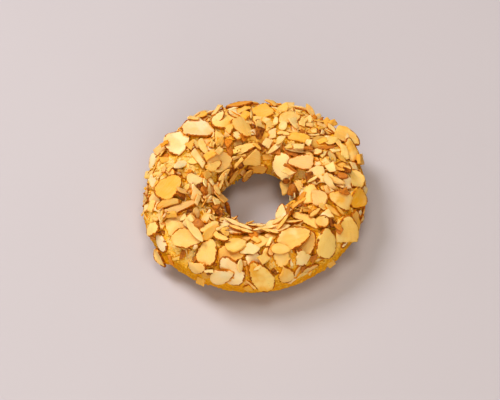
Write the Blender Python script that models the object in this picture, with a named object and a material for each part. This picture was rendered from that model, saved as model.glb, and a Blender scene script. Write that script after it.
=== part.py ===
"""Almond ring pastry: a baked ring of dough covered with flaked almonds.

The ring stands on its flat base on z = 0, with the hole's axis along +Z. A place on the dough is given
by two angles in degrees: around, counted from +X towards +Y, and over, which is 0 at the middle of the
outer wall, 90 on the crest and 180 at the middle of the hole's wall. The front is -Y.
"""
import math
import random
from collections import namedtuple

import bpy
import numpy as np
from mathutils import Matrix, Vector
from mathutils.bvhtree import BVHTree

MM = 0.001

# The ring of dough.
RING_RADIUS = 34.6 * MM       # from the hole's axis to the middle of the dough
DOUGH_HALF_WIDTH = 18.3 * MM
TOP_HEIGHT = 24.0 * MM
BELT_HEIGHT = 10.0 * MM       # where the dough is widest
BELLY_DEPTH = 12.2 * MM       # below the belt the round section is cut flat by the baking tray
SIDE_FULLNESS = 0.92          # under 1, the section is a little squarer than an ellipse
CREST_FULLNESS = 0.95
DOUGH_STEPS_AROUND = 80
DOUGH_STEPS_OVER = 24

# The ring is shaped by hand: (waves in one turn, size, direction of a crest in degrees).
OUTER_WALL_WAVES = ((1, 2.2 * MM, 97), (2, 1.6 * MM, 25), (4, 0.45 * MM, 36), (5, 0.35 * MM, -16))
HOLE_WALL_WAVES = ((2, 1.1 * MM, 88), (3, 0.65 * MM, 49), (4, 0.45 * MM, -5))
CREST_WAVES = ((2, 0.4 * MM, 150), (3, 0.35 * MM, 20), (7, 0.2 * MM, 65))

# The flaked almonds.
FLAKE_THICKNESS = 0.9 * MM
FLAKE_OUTLINE_STEPS = 24
FLAKE_POINTEDNESS = 0.26      # how much narrower the pointed half is than the round half
FLAKE_UNEVENNESS = 0.025      # of the outline's radius
GAP = 0.3 * MM                # left between pieces that touch
DROP_START = 9.0 * MM         # a flake comes down onto the dough from this far outside it
DROP_STEP = 0.1 * MM
SUPPORT_DEPTH = 4.0 * MM      # what lies deeper below a flake than this doesn't carry it
SUPPORT_RINGS = (0.35, 0.7, 1.0)      # shares of the outline at which the pile below is measured
TILTS = np.linspace(-0.36, 0.36, 25)  # slopes tried for a flake, against the dough under its middle
TILT_COST = 1.2 * MM          # how much lower a flake must come to lie, to be worth a slope of 1

# Breaks of a flake: (direction from its middle in degrees, distance as a share of its half size there).
BREAKS = {
    "whole": (),
    "blunt": ((180, 0.80),),
    "stub": ((180, 0.50),),
    "snapped": ((10, 0.45),),
    "split": ((92, 0.35),),
    "corner": ((40, 0.62),),
    "shard": ((25, 0.55), (150, 0.6)),
    "block": ((0, 0.6), (95, 0.65), (185, 0.7)),
}

Flake = namedtuple("Flake", "around over spin length width shape lean", defaults=("whole", 0))
# around and over place the flake's middle; spin turns its long axis from along the ring (0) to across
# it (90); lean tips its face towards the hole. Angles are in degrees, length and width in millimetres.
# What comes later lies on top of what comes earlier.
LEFT_FLAKES = [
    Flake(187, 55, 150, 11, 8, "corner"),
    Flake(194, 73, 60, 10, 7.5),
    Flake(184, 75, 144, 16, 11.5),
    Flake(176, 107, 10, 9, 8, "shard"),
    Flake(140, 127, 156, 14, 10.5),
    Flake(148, 62, 35, 16, 12.5, "whole", 10),
]
BACK_FLAKES = [
    Flake(95, 146, 20, 10, 8.5, "block"),
    Flake(87, 164, 3, 10, 7),
    Flake(98, 35, 0, 15, 9, "blunt", 6),
    Flake(131, 71, 122, 17, 12),
    Flake(113, 78, 4, 13.5, 12),
    Flake(101, 95, 104, 13.5, 9.5, "blunt"),
    Flake(67, 72, 65, 13, 8.5, "blunt"),
    Flake(84, 68, 120, 13, 11, "block", 15),
]
RIGHT_FLAKES = [
    Flake(34, 38, 220, 15, 10.5, "blunt", 25),
    Flake(38, 84, 62, 11, 8),
    Flake(51, 98, 17, 13, 7.5, "split"),
    Flake(24, 45, 8, 13, 7.5, "blunt", 14),
    Flake(42, 144, 168, 16, 11.5),
    Flake(27, 117, 58, 14, 8, "blunt"),
    Flake(6, 104, 92, 14, 10.5, "block"),
    Flake(5, 53, 108, 13, 10, "snapped", 6),
    Flake(353, 42, 158, 12, 9.5),
    Flake(346, 107, 16, 11.5, 9, "blunt"),
    Flake(342, 96, 75, 10, 7.5, "corner"),
    Flake(346, 69, 93, 14, 9, "blunt"),
    Flake(340, 29, 40, 12, 8.5),
    Flake(331, 33, 45, 17, 13.5, "stub", 8),
]
FRONT_FLAKES = [
    Flake(306, 68, 24, 14, 10),
    Flake(318, 94, 96, 15, 7, "split"),
    Flake(300, 82, 353, 17.5, 10.5),
    Flake(316.5, 47, 54, 15, 11),
    Flake(312, 128, 60, 11, 8.5),
    Flake(299, 50, 10, 10, 8, "shard"),
    Flake(287, 63, 10, 11, 9.5, "block"),
    Flake(287, 30, 112, 10.5, 7.5, "corner"),
    Flake(269, 61, 105, 12, 9, "block"),
    Flake(273, 34, 116, 19, 10.5),
    Flake(254, 68, 16, 14, 9),
    Flake(256, 42, 124, 16, 11),
    Flake(252, 31, 27, 11.5, 7.5),
    Flake(256, 84, 24, 10.5, 9),
    Flake(239, 60, 103, 13.5, 10.5),
    Flake(211, 68, 70, 14, 10, "blunt"),
    Flake(220, 87, 5, 13, 7.5, "split"),
    Flake(201, 84, 91, 17, 7, "split"),
    Flake(224, 63, 38, 15.5, 9.5),
    Flake(237, 34, 26, 12, 8.5, "split"),
    Flake(215, -4, 350, 10.5, 6.5, "whole", 26),
    Flake(212, 27, 158, 11, 5.5),
    Flake(204, 32, 30, 9, 8, "whole", 18),
    Flake(229, 92, 67, 11, 7, "split"),
]
# On the hole's front edge and on the outer wall at the back, flakes follow each other like shingles:
# (first around, step around, count, over, length, width).
SHINGLE_ROWS = [
    (246, 24, 3, 118, 13, 9),
    (38, 28, 4, 2, 15, 10.5),
]
SHINGLE_SWING = 14            # degrees by which neighbouring shingles differ in height and spin
SHINGLE_SHAPES = ("whole", "blunt", "corner")
SEED = 11

DOUGH_COLOUR = (0.70, 0.36, 0.07, 1.0)
ALMOND_COLOUR = (0.88, 0.62, 0.27, 1.0)


def wave(waves, around):
    """Sum of the waves at a direction around the ring, in radians."""
    return sum(size * math.cos(count * (around - math.radians(crest))) for count, size, crest in waves)


def rounded(value, fullness):
    """A sine or cosine made fuller, so that the section swells out towards its corners."""
    return math.copysign(abs(value) ** fullness, value)


def dough_point(around, over):
    """The place on the dough's surface at two angles in radians."""
    outer_radius = RING_RADIUS + DOUGH_HALF_WIDTH + wave(OUTER_WALL_WAVES, around)
    hole_radius = RING_RADIUS - DOUGH_HALF_WIDTH + wave(HOLE_WALL_WAVES, around)
    middle = (outer_radius + hole_radius) / 2
    half_width = (outer_radius - hole_radius) / 2
    radius = middle + half_width * rounded(math.cos(over), SIDE_FULLNESS)
    crest_rise = TOP_HEIGHT - BELT_HEIGHT + wave(CREST_WAVES, around)
    rise = crest_rise if math.sin(over) > 0 else BELLY_DEPTH
    height = BELT_HEIGHT + rise * rounded(math.sin(over), CREST_FULLNESS)
    return Vector((radius * math.cos(around), radius * math.sin(around), max(height, 0.0)))


def dough_frame(around, over):
    """A point on the dough and the directions along the ring, over it and out of it."""
    step = math.radians(1)
    point = dough_point(around, over)
    along = (dough_point(around + step, over) - dough_point(around - step, over)).normalized()
    across = (dough_point(around, over + step) - dough_point(around, over - step)).normalized()
    outward = along.cross(across).normalized()
    across = outward.cross(along)
    return point, along, across, outward


def food_material(name, colour, roughness):
    material = bpy.data.materials.new(name)
    material.diffuse_color = colour
    material.use_nodes = True
    shader = material.node_tree.nodes["Principled BSDF"]
    shader.inputs["Base Color"].default_value = colour
    shader.inputs["Roughness"].default_value = roughness
    shader.inputs["Metallic"].default_value = 0.0
    return material


def make_ring(collection, holder):
    """The dough, a torus whose points are moved onto the hand-shaped section."""
    bpy.ops.mesh.primitive_torus_add(
        major_segments=DOUGH_STEPS_AROUND,
        minor_segments=DOUGH_STEPS_OVER,
        major_radius=RING_RADIUS,
        minor_radius=DOUGH_HALF_WIDTH,
    )
    ring = bpy.context.object
    ring.name = "pastry_ring"
    for vertex in ring.data.vertices:
        x, y, z = vertex.co
        over = math.atan2(z, math.hypot(x, y) - RING_RADIUS)
        vertex.co = dough_point(math.atan2(y, x), over)
    ring.data.shade_smooth()
    ring.data.materials.append(food_material("baked_dough", DOUGH_COLOUR, 0.6))
    for other in list(ring.users_collection):
        other.objects.unlink(ring)
    collection.objects.link(ring)
    ring.parent = holder
    return ring


def clipped(outline, direction, distance):
    """The part of an outline that lies within a distance of the origin in one direction."""
    kept = []
    for start, end in zip(outline, outline[1:] + outline[:1]):
        start_past = start.dot(direction) - distance
        end_past = end.dot(direction) - distance
        if start_past <= 0:
            kept.append(start)
        if start_past * end_past < 0:
            kept.append(start.lerp(end, start_past / (start_past - end_past)))
    return kept


def flake_outline(flake, rng):
    """The edge of an almond slice: round at one end, pointed at the other, broken as its shape says."""
    half_length = flake.length * MM / 2
    half_width = flake.width * MM / 2
    outline = []
    for step in range(FLAKE_OUTLINE_STEPS):
        turn = math.tau * step / FLAKE_OUTLINE_STEPS
        size = 1 + rng.uniform(-FLAKE_UNEVENNESS, FLAKE_UNEVENNESS)
        narrowing = 1 - FLAKE_POINTEDNESS * math.cos(turn)
        outline.append(Vector((half_length * math.cos(turn), half_width * math.sin(turn) * narrowing)) * size)
    for degrees, share in BREAKS[flake.shape]:
        direction = Vector((math.cos(math.radians(degrees)), math.sin(math.radians(degrees))))
        reach = max(point.dot(direction) for point in outline)
        outline = clipped(outline, direction, reach * share)
    return outline


def plate(outline, matrix, margin=0.0):
    """Corner points and faces of a flake, made larger all round by a margin."""
    corners = []
    for side in (1, -1):
        height = side * (FLAKE_THICKNESS / 2 + margin)
        for point in outline:
            edge = point + point.normalized() * margin
            corners.append(matrix @ Vector((edge.x, edge.y, height)))
    count = len(outline)
    faces = [tuple(range(count)), tuple(range(2 * count - 1, count - 1, -1))]
    for step in range(count):
        after = (step + 1) % count
        faces.append((step, step + count, after + count, after))
    return corners, faces


class Pile:
    """Everything laid so far, as one body of triangles that the next flake comes to rest on."""

    def __init__(self, ring):
        self.corners = [vertex.co.copy() for vertex in ring.data.vertices]
        self.faces = [tuple(face.vertices) for face in ring.data.polygons]
        self.tree = BVHTree.FromPolygons(self.corners, self.faces)

    def add(self, corners, faces):
        first = len(self.corners)
        self.corners += corners
        self.faces += [tuple(index + first for index in face) for face in faces]
        self.tree = BVHTree.FromPolygons(self.corners, self.faces)

    def lowest_slope(self, outline, point, long_axis, wide_axis, outward):
        """The slope along a flake's two axes with which its middle comes to lie lowest."""
        places = [(0.0, 0.0)]
        for share in SUPPORT_RINGS:
            places += [(edge.x * share, edge.y * share) for edge in outline]
        supports = []
        for x, y in places:
            start = point + long_axis * x + wide_axis * y + outward * DROP_START
            hit, _, _, distance = self.tree.ray_cast(start, -outward, DROP_START + SUPPORT_DEPTH)
            if hit is not None:
                supports.append((x, y, DROP_START - distance))
        x, y, height = np.array(supports).T
        slope_x, slope_y = np.meshgrid(TILTS, TILTS)
        slope_x, slope_y = slope_x.ravel(), slope_y.ravel()
        middle = (height - np.outer(slope_x, x) - np.outer(slope_y, y)).max(axis=1)
        best = np.argmin(middle + TILT_COST * (slope_x ** 2 + slope_y ** 2))
        return float(slope_x[best]), float(slope_y[best])

    def touches(self, outline, matrix):
        corners, faces = plate(outline, matrix, GAP)
        return bool(self.tree.overlap(BVHTree.FromPolygons(corners, faces)))


def resting_matrix(flake, outline, pile):
    """Turn a flake to the slope below it, then bring it down until it almost touches."""
    point, along, across, outward = dough_frame(math.radians(flake.around), math.radians(flake.over))
    spin = math.radians(flake.spin)
    long_axis = along * math.cos(spin) + across * math.sin(spin)
    wide_axis = outward.cross(long_axis)
    slope_x, slope_y = pile.lowest_slope(outline, point, long_axis, wide_axis, outward)
    face = (outward - long_axis * slope_x - wide_axis * slope_y).normalized()
    face = Matrix.Rotation(math.radians(flake.lean), 3, -along) @ face
    long_axis = Matrix.Rotation(math.radians(flake.lean), 3, -along) @ long_axis
    wide_axis = face.cross(long_axis).normalized()
    long_axis = wide_axis.cross(face)
    turned = Matrix((long_axis, wide_axis, face)).transposed().to_4x4()
    height = DROP_START
    while height > -SUPPORT_DEPTH:
        lower = Matrix.Translation(point + outward * (height - DROP_STEP)) @ turned
        if pile.touches(outline, lower):
            break
        height -= DROP_STEP
    return Matrix.Translation(point + outward * height) @ turned


def make_flake(name, flake, pile, collection, holder, material):
    """One flaked almond: a flat outline with an even thickness, laid on the pile."""
    outline = flake_outline(flake, random.Random(f"{name} {SEED}"))
    matrix = resting_matrix(flake, outline, pile)
    pile.add(*plate(outline, matrix))
    curve = bpy.data.curves.new(name, "CURVE")
    curve.dimensions = "2D"
    curve.fill_mode = "BOTH"
    curve.extrude = FLAKE_THICKNESS / 2
    spline = curve.splines.new("POLY")
    spline.points.add(len(outline) - 1)
    for place, point in zip(spline.points, outline):
        place.co = (point.x, point.y, 0.0, 1.0)
    spline.use_cyclic_u = True
    curve.materials.append(material)
    slice_object = bpy.data.objects.new(name, curve)
    collection.objects.link(slice_object)
    slice_object.parent = holder
    slice_object.matrix_world = matrix


def shingle_flakes():
    """Rows of flakes where neighbours alternate in height and turn."""
    flakes = []
    for first, step, count, over, length, width in SHINGLE_ROWS:
        for place in range(count):
            side = 1 if place % 2 else -1
            shape = SHINGLE_SHAPES[place % len(SHINGLE_SHAPES)]
            around = first + step * place
            flakes.append(Flake(around, over + side * SHINGLE_SWING / 2, side * SHINGLE_SWING,
                                length, width, shape))
    return flakes


def centre_on_origin(holder, pile):
    """Stand the pastry on z = 0 with its outline's middle over the origin."""
    lowest = Vector([min(corner[axis] for corner in pile.corners) for axis in range(3)])
    highest = Vector([max(corner[axis] for corner in pile.corners) for axis in range(3)])
    middle = (lowest + highest) / 2
    holder.location = (-middle.x, -middle.y, -lowest.z)


def build():
    for thing in list(bpy.data.objects):
        bpy.data.objects.remove(thing)
    collection = bpy.data.collections.new("almond_ring_pastry")
    bpy.context.scene.collection.children.link(collection)
    holder = bpy.data.objects.new("pastry", None)
    collection.objects.link(holder)
    ring = make_ring(collection, holder)
    pile = Pile(ring)
    almond = food_material("flaked_almond", ALMOND_COLOUR, 0.5)
    flakes = shingle_flakes() + LEFT_FLAKES + BACK_FLAKES + RIGHT_FLAKES + FRONT_FLAKES
    for number, flake in enumerate(flakes, start=1):
        make_flake(f"almond_flake_{number:02d}", flake, pile, collection, holder, almond)
    centre_on_origin(holder, pile)


build()
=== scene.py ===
"""Almond ring pastry: the looks of its dough, its flaked almonds and the bits between them."""

import math
from collections import namedtuple

import bmesh
import bpy
import numpy as np
from mathutils import Matrix, Vector, noise
from mathutils.bvhtree import BVHTree


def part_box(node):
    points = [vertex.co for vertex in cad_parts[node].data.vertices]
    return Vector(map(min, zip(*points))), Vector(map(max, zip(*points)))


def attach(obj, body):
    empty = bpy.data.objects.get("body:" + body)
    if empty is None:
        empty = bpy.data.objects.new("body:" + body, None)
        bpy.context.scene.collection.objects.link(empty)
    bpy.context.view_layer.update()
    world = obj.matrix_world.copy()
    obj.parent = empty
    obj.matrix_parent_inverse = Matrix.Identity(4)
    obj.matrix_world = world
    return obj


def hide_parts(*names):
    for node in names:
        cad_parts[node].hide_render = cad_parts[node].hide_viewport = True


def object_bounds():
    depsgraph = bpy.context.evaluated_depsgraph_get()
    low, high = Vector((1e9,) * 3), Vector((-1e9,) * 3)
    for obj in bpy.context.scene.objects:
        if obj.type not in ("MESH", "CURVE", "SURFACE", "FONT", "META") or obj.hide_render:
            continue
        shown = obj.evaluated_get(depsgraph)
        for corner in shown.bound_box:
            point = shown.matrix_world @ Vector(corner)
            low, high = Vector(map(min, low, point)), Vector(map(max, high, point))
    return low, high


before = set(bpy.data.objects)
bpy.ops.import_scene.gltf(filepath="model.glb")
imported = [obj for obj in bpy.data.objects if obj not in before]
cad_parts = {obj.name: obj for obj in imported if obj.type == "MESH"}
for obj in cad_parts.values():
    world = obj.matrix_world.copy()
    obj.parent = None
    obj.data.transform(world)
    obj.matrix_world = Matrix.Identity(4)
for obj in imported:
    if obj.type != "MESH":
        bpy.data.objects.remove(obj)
cad_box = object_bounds()

MM = 0.001
NOISE_SEED = 7
noise.seed_set(NOISE_SEED)  # or else noise_vector differs from run to run

# The photograph: 500 by 400 pixels, taken from the front and from above.
PHOTO_WIDTH, PHOTO_HEIGHT = 500, 400
VIEW_ELEVATION = math.radians(57)
VIEW_DISTANCE = 0.90
LENS = 134.3  # mm, on a 36 mm wide sensor
SENSOR_WIDTH = 36.0
HOLE_AXIS = Vector((0.05, -1.76, 0)) * MM
AIM = HOLE_AXIS + Vector((0, 0, 12.5)) * MM  # the middle of the ring
AIM_COLUMN, AIM_ROW = 255.2, 197.6  # the pixel where it shows
RIGHT = Vector((1, 0, 0))
UP = Vector((0, math.sin(VIEW_ELEVATION), math.cos(VIEW_ELEVATION)))
BACK = Vector((0, -math.cos(VIEW_ELEVATION), math.sin(VIEW_ELEVATION)))
PIXEL_SLOPE = SENSOR_WIDTH / LENS / PHOTO_WIDTH
MIDDLE = (AIM - RIGHT * (AIM_COLUMN - PHOTO_WIDTH / 2) * PIXEL_SLOPE * VIEW_DISTANCE
          + UP * (AIM_ROW - PHOTO_HEIGHT / 2) * PIXEL_SLOPE * VIEW_DISTANCE)
EYE = MIDDLE + BACK * VIEW_DISTANCE

# The dough is measured from a core circle inside it.
CORE_RADIUS = 34.6 * MM
CORE_HEIGHT = 10.0 * MM

# Colours, as linear red, green and blue.
WHITE = (0.90, 0.74, 0.44)
PALE = (0.90, 0.69, 0.33)
CREAM = (0.89, 0.61, 0.22)
HONEY = (0.95, 0.66, 0.22)
GOLDEN = (0.85, 0.47, 0.09)
TAN = (0.81, 0.51, 0.15)
SHADE = (0.66, 0.37, 0.09)
PINK = (0.80, 0.50, 0.20)
AMBER = (0.74, 0.27, 0.02)
TOASTED = (0.86, 0.43, 0.02)
SKIN_LIGHT = (0.56, 0.20, 0.030)
SKIN_DARK = (0.20, 0.05, 0.006)
DOUGH_SANDY = (0.97, 0.72, 0.31)
DOUGH_GOLD = (0.96, 0.53, 0.03)
# deep gold: the dough's own colour deep down, and also painted shade near other pieces
DOUGH_DEEP = (0.84, 0.35, 0.002)
# painted shade, where other pieces lie closest
DOUGH_PAINTED_SHADE = (0.28, 0.07, 0.001)
DOUGH_WASHED = (0.82, 0.34, 0.002)
DOUGH_LIGHT_CRUST = (0.95, 0.52, 0.03)
DOUGH_BASE = (0.30, 0.12, 0.02)
ALMOND_PAINTED_SHADE = (0.78, 0.30, 0.002)  # painted shade on almond, where other pieces lie close around it
RIM_LIGHT = (0.60, 0.20, 0.010)
RIM_DARK = (0.28, 0.07, 0.004)


# -------- the dough's smooth shape

def direction(around, over):
    """The way that two angles give, in radians: around the upright axis, and over, up from level."""
    level = math.cos(over)
    return Vector((level * math.cos(around), level * math.sin(around), math.sin(over)))


class DoughShape:
    """The dough's surface without its crumbs: its distance from the core circle in every direction.

    A place on it is given by two angles in radians: around the ring, and over, which is 0 at the outer
    wall, a quarter turn on the crest and half a turn at the hole's wall.
    """

    READINGS_AROUND = 240
    READINGS_OVER = 120
    SOFTENING = (math.radians(2.4), math.radians(5.5))  # rounds off the solid's facets
    NORMAL_STEP = math.radians(1.5)

    def __init__(self, node):
        mesh = node.data
        tree = BVHTree.FromPolygons([v.co for v in mesh.vertices], [p.vertices for p in mesh.polygons])
        reach = np.zeros((self.READINGS_AROUND, self.READINGS_OVER))
        for i in range(self.READINGS_AROUND):
            around = math.tau * i / self.READINGS_AROUND
            for j in range(self.READINGS_OVER):
                way = direction(around, math.tau * j / self.READINGS_OVER)
                reach[i, j] = tree.ray_cast(self.core(around), way)[3]
        self.reach = self.softened(reach)

    def softened(self, reach):
        waves_around = np.fft.fftfreq(self.READINGS_AROUND, 1 / self.READINGS_AROUND)
        waves_over = np.fft.fftfreq(self.READINGS_OVER, 1 / self.READINGS_OVER)
        kept = np.outer(np.exp(-(waves_around * self.SOFTENING[0]) ** 2 / 2),
                        np.exp(-(waves_over * self.SOFTENING[1]) ** 2 / 2))
        return np.real(np.fft.ifft2(np.fft.fft2(reach) * kept))

    @staticmethod
    def core(around):
        x, y = CORE_RADIUS * math.cos(around), CORE_RADIUS * math.sin(around)
        return HOLE_AXIS + Vector((x, y, CORE_HEIGHT))

    def reach_at(self, around, over):
        """Read between the readings, for arrays of angles."""
        a = np.mod(around / math.tau, 1) * self.READINGS_AROUND
        b = np.mod(over / math.tau, 1) * self.READINGS_OVER
        i, j = np.floor(a).astype(int), np.floor(b).astype(int)
        s, t = a - i, b - j
        i, j = i % self.READINGS_AROUND, j % self.READINGS_OVER
        i2, j2 = (i + 1) % self.READINGS_AROUND, (j + 1) % self.READINGS_OVER
        near = self.reach[i, j] * (1 - t) + self.reach[i, j2] * t
        far = self.reach[i2, j] * (1 - t) + self.reach[i2, j2] * t
        return near * (1 - s) + far * s

    def points(self, around, over):
        around, over = np.asarray(around, float), np.asarray(over, float)
        reach = self.reach_at(around, over)
        radius = CORE_RADIUS + reach * np.cos(over)
        x = HOLE_AXIS.x + radius * np.cos(around)
        y = HOLE_AXIS.y + radius * np.sin(around)
        z = np.maximum(CORE_HEIGHT + reach * np.sin(over), 0)
        return np.stack([x, y, z], axis=-1)

    def normals(self, around, over):
        around, over = np.asarray(around, float), np.asarray(over, float)
        step = self.NORMAL_STEP
        along = self.points(around + step, over) - self.points(around - step, over)
        across = self.points(around, over + step) - self.points(around, over - step)
        normal = np.cross(along, across)
        return normal / np.linalg.norm(normal, axis=-1, keepdims=True)

    def angles(self, point):
        """The two angles of the place on the dough nearest a point."""
        offset = Vector(point) - HOLE_AXIS
        around = math.atan2(offset.y, offset.x)
        over = math.atan2(offset.z - CORE_HEIGHT, math.hypot(offset.x, offset.y) - CORE_RADIUS)
        return around, over


dough_shape = DoughShape(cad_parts["pastry_ring"])


# -------- outlines of flakes and chips

LARGE_JAG = 0.2 * MM  # how rough a break is, on a large flake
HAND_JAG = 0.14 * MM  # on a small piece that the photograph shows
STREWN_JAG = 0.1 * MM
COARSE_ROUGHNESS = 1.3  # of a break's long waves, against its short ones
UNEVENNESS = 0.02  # of a round stretch, as a share of its distance from the middle
EGG_CORNERS = 20
LENS_CORNERS = 16


def smoothed(values, times=1, axis=0):
    """Each value of rows that close on themselves, averaged with its neighbours."""
    for _ in range(times):
        values = (np.roll(values, 1, axis) + 2 * values + np.roll(values, -1, axis)) / 4
    return values


def along_edges(lengths, count):
    """Even steps around an outline: the edge that each is on, and its share of the way along it."""
    starts = np.concatenate([[0], np.cumsum(lengths)])
    place = np.arange(count) / count * starts[-1]
    edge = np.clip(np.searchsorted(starts, place, side="right") - 1, 0, len(lengths) - 1)
    return edge, ((place - starts[edge]) / lengths[edge])[:, None]


def rounded(corners, broken, ways, lengths, edge, t):
    """Places on smooth curves through the corners. A curve meets a break in the break's direction."""
    before, after = np.roll(corners, 1, axis=0), np.roll(corners, -1, axis=0)
    bend = after - before
    bend /= np.linalg.norm(bend, axis=1, keepdims=True)
    leave = np.where(np.roll(broken, 1)[:, None], ways, bend)
    arrive = np.roll(np.where(broken[:, None], np.roll(ways, 1, axis=0), bend), -1, axis=0)
    size = lengths[edge][:, None]
    return ((2 * t ** 3 - 3 * t ** 2 + 1) * corners[edge] + (t ** 3 - 2 * t ** 2 + t) * leave[edge] * size
            + (3 * t ** 2 - 2 * t ** 3) * after[edge] + (t ** 3 - t ** 2) * arrive[edge] * size)


def fine_outline(corners, broken, count, rng, jag):
    """Many even steps around an outline, and how much natural rim is left at each: 0 on a break, else 1.

    Its round stretches curve, and its broken ones are jagged.
    """
    edges = np.roll(corners, -1, axis=0) - corners
    lengths = np.linalg.norm(edges, axis=1)
    ways = edges / lengths[:, None]
    edge, t = along_edges(lengths, count)
    rough = smoothed(rng.normal(size=count)) + COARSE_ROUGHNESS * smoothed(rng.normal(size=count), 6)
    fade = np.minimum(1, 5 * np.minimum(t, 1 - t))
    outward = np.stack([ways[:, 1], -ways[:, 0]], axis=1)
    jagged = corners[edge] + edges[edge] * t + outward[edge] * (rough * jag)[:, None] * fade
    uneven = 1 + UNEVENNESS * smoothed(rng.normal(size=count), 8)[:, None]
    curved = rounded(corners, broken, ways, lengths, edge, t) * uneven
    is_broken = broken[edge]
    natural = smoothed(np.where(is_broken, 0.0, 1.0))
    return np.where(is_broken[:, None], jagged, curved), natural


def egg(length, width, pointed=0.26):
    """The outline of a slice of almond, round at one end and pointed at the other."""
    turn = math.tau * np.arange(EGG_CORNERS) / EGG_CORNERS
    x = length / 2 * np.cos(turn)
    y = width / 2 * np.sin(turn) * (1 - pointed * np.cos(turn))
    return np.stack([x, y], axis=1)


def lens(length, width):
    """An outline that is pointed at both ends."""
    turn = math.tau * np.arange(LENS_CORNERS) / LENS_CORNERS
    x = length / 2 * np.cos(turn)
    y = width / 2 * np.sin(turn) * np.abs(np.sin(turn)) ** 0.45
    return np.stack([x, y], axis=1)


def clipped(corners, broken, degrees, share):
    """What is left of an outline after a straight break, at a share of its reach in one direction."""
    way = np.array([math.cos(math.radians(degrees)), math.sin(math.radians(degrees))])
    past = corners @ way - share * (corners @ way).max()
    kept, kept_broken = [], []
    for k in range(len(corners)):
        ahead = (k + 1) % len(corners)
        if past[k] <= 0:
            kept.append(corners[k])
            kept_broken.append(broken[k])
        if past[k] * past[ahead] < 0:
            kept.append(corners[k] + (corners[ahead] - corners[k]) * past[k] / (past[k] - past[ahead]))
            kept_broken.append(past[k] < 0 or broken[k])
    return np.array(kept), np.array(kept_broken)


def chip_outline(shape, length, width, rng):
    """Corners of a small piece, and which of its edges are breaks."""
    if shape == "round":
        corners, breaks = egg(length, width, pointed=0.1), ()
    elif shape == "lens":
        corners, breaks = lens(length, width), ()
    elif shape == "egg":
        corners, breaks = egg(length, width), ()
    elif shape == "half":
        corners, breaks = egg(length * 1.1, width * 1.3), ((rng.choice([88, -92]), 0.25),)
    elif shape == "tip":
        corners, breaks = egg(length * 1.6, width), ((180 + rng.uniform(-25, 25), 0.25),)
    elif shape == "shard":
        corners = egg(length * 1.2, width * 1.25)
        breaks = ((rng.uniform(10, 50), 0.55), (rng.uniform(120, 160), 0.5), (rng.uniform(230, 290), 0.7))
    else:
        spread = np.array([[1, 1], [-1, 1], [-1, -1], [1, -1]]) * [length / 2, width / 2]
        corners = spread * (1 + rng.uniform(-0.28, 0.08, (4, 2)))
        return corners, np.ones(4, bool)
    broken = np.zeros(len(corners), bool)
    for degrees, share in breaks:
        corners, broken = clipped(corners, broken, degrees, share)
    return corners - corners.mean(axis=0), broken


# -------- flakes as meshes

RIM_INSETS = (0.0, 0.06 * MM, 0.24 * MM)  # rings of points close to the edge of a flake
RIM_HEIGHTS = (0.0, 0.80, 1.0)  # their heights, as a share of half the thickness
MOST_INSET = 0.3  # as a share of the distance from the middle
CURL_FROM = -0.1  # where a curl begins, as a share of the way from the middle to the edge
RIPPLE_STRETCH = 1.6  # length of a slice's ripples, as a share of half its own length
THICKNESS_RIPPLE = 0.16  # how uneven a slice's thickness is, as a share of it
THICKNESS_RIPPLE_LENGTH = 3 * MM
MOST_PATTERN = 300  # how far the streaks of two small slices can be shifted against each other

# How a slice is made: further rings of points on its top and on its underside, as shares of the way out,
# how high its ripples are, how much its colour differs from its kind, and for small ones the most that they
# bend, in millimetres, and curl, as a share of their length.
Make = namedtuple("Make", "top under ripple spread bend curl", defaults=(None, None))
LARGE_MAKE = Make((0.8, 0.58, 0.36, 0.16), (0.5,), 0.07 * MM, 0.06)
HAND_MAKE = Make((0.7, 0.35), (), 0.12 * MM, 0.1, 0.35, 0.10)
STREWN_MAKE = Make((0.6,), (), 0.12 * MM, 0.1, 0.2, 0.12)
Slice = namedtuple("Slice", "outline natural middle axes thickness look")

# Nearby occlusion, which the materials paint as shade, is read along these directions.
SIGHT_REACH = 4.5 * MM  # what is further from a point than this doesn't shade it
SIGHT_START = 0.35 * MM  # what is nearer is the piece itself
SIGHT_SLANT = math.radians(55)  # of the directions looked in, but for the one straight out
SIGHT_TURNS = np.arange(5) * math.tau / 5


def normals_of(mesh):
    """The direction out of the surface at each point of a mesh."""
    normals = np.zeros(len(mesh.vertices) * 3, np.float32)
    mesh.vertex_normals.foreach_get("vector", normals)
    return normals.reshape(-1, 3).astype(float)


def occlusion_for_painted_shade(points, normals, pile):
    """How much of what lies before each point is taken up by something near, from 0 to 1: the occlusion
    that the materials paint as shade.
    """
    helper = np.where(np.abs(normals[:, 2:]) < 0.9, [0.0, 0.0, 1.0], [1.0, 0.0, 0.0])
    aside = np.cross(normals, helper)
    aside /= np.maximum(np.linalg.norm(aside, axis=1, keepdims=True), 1e-9)
    across = np.cross(normals, aside)
    ways = [normals]
    for turn in SIGHT_TURNS:
        sideways = aside * math.cos(turn) + across * math.sin(turn)
        ways.append(normals * math.cos(SIGHT_SLANT) + sideways * math.sin(SIGHT_SLANT))
    starts = (points + normals * SIGHT_START).tolist()
    taken = np.zeros(len(points))
    for way in ways:
        found = [pile.ray_cast(start, aim, SIGHT_REACH)[3] for start, aim in zip(starts, way.tolist())]
        taken += [0.0 if distance is None else 1 - distance / SIGHT_REACH for distance in found]
    return taken / len(ways)


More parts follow.
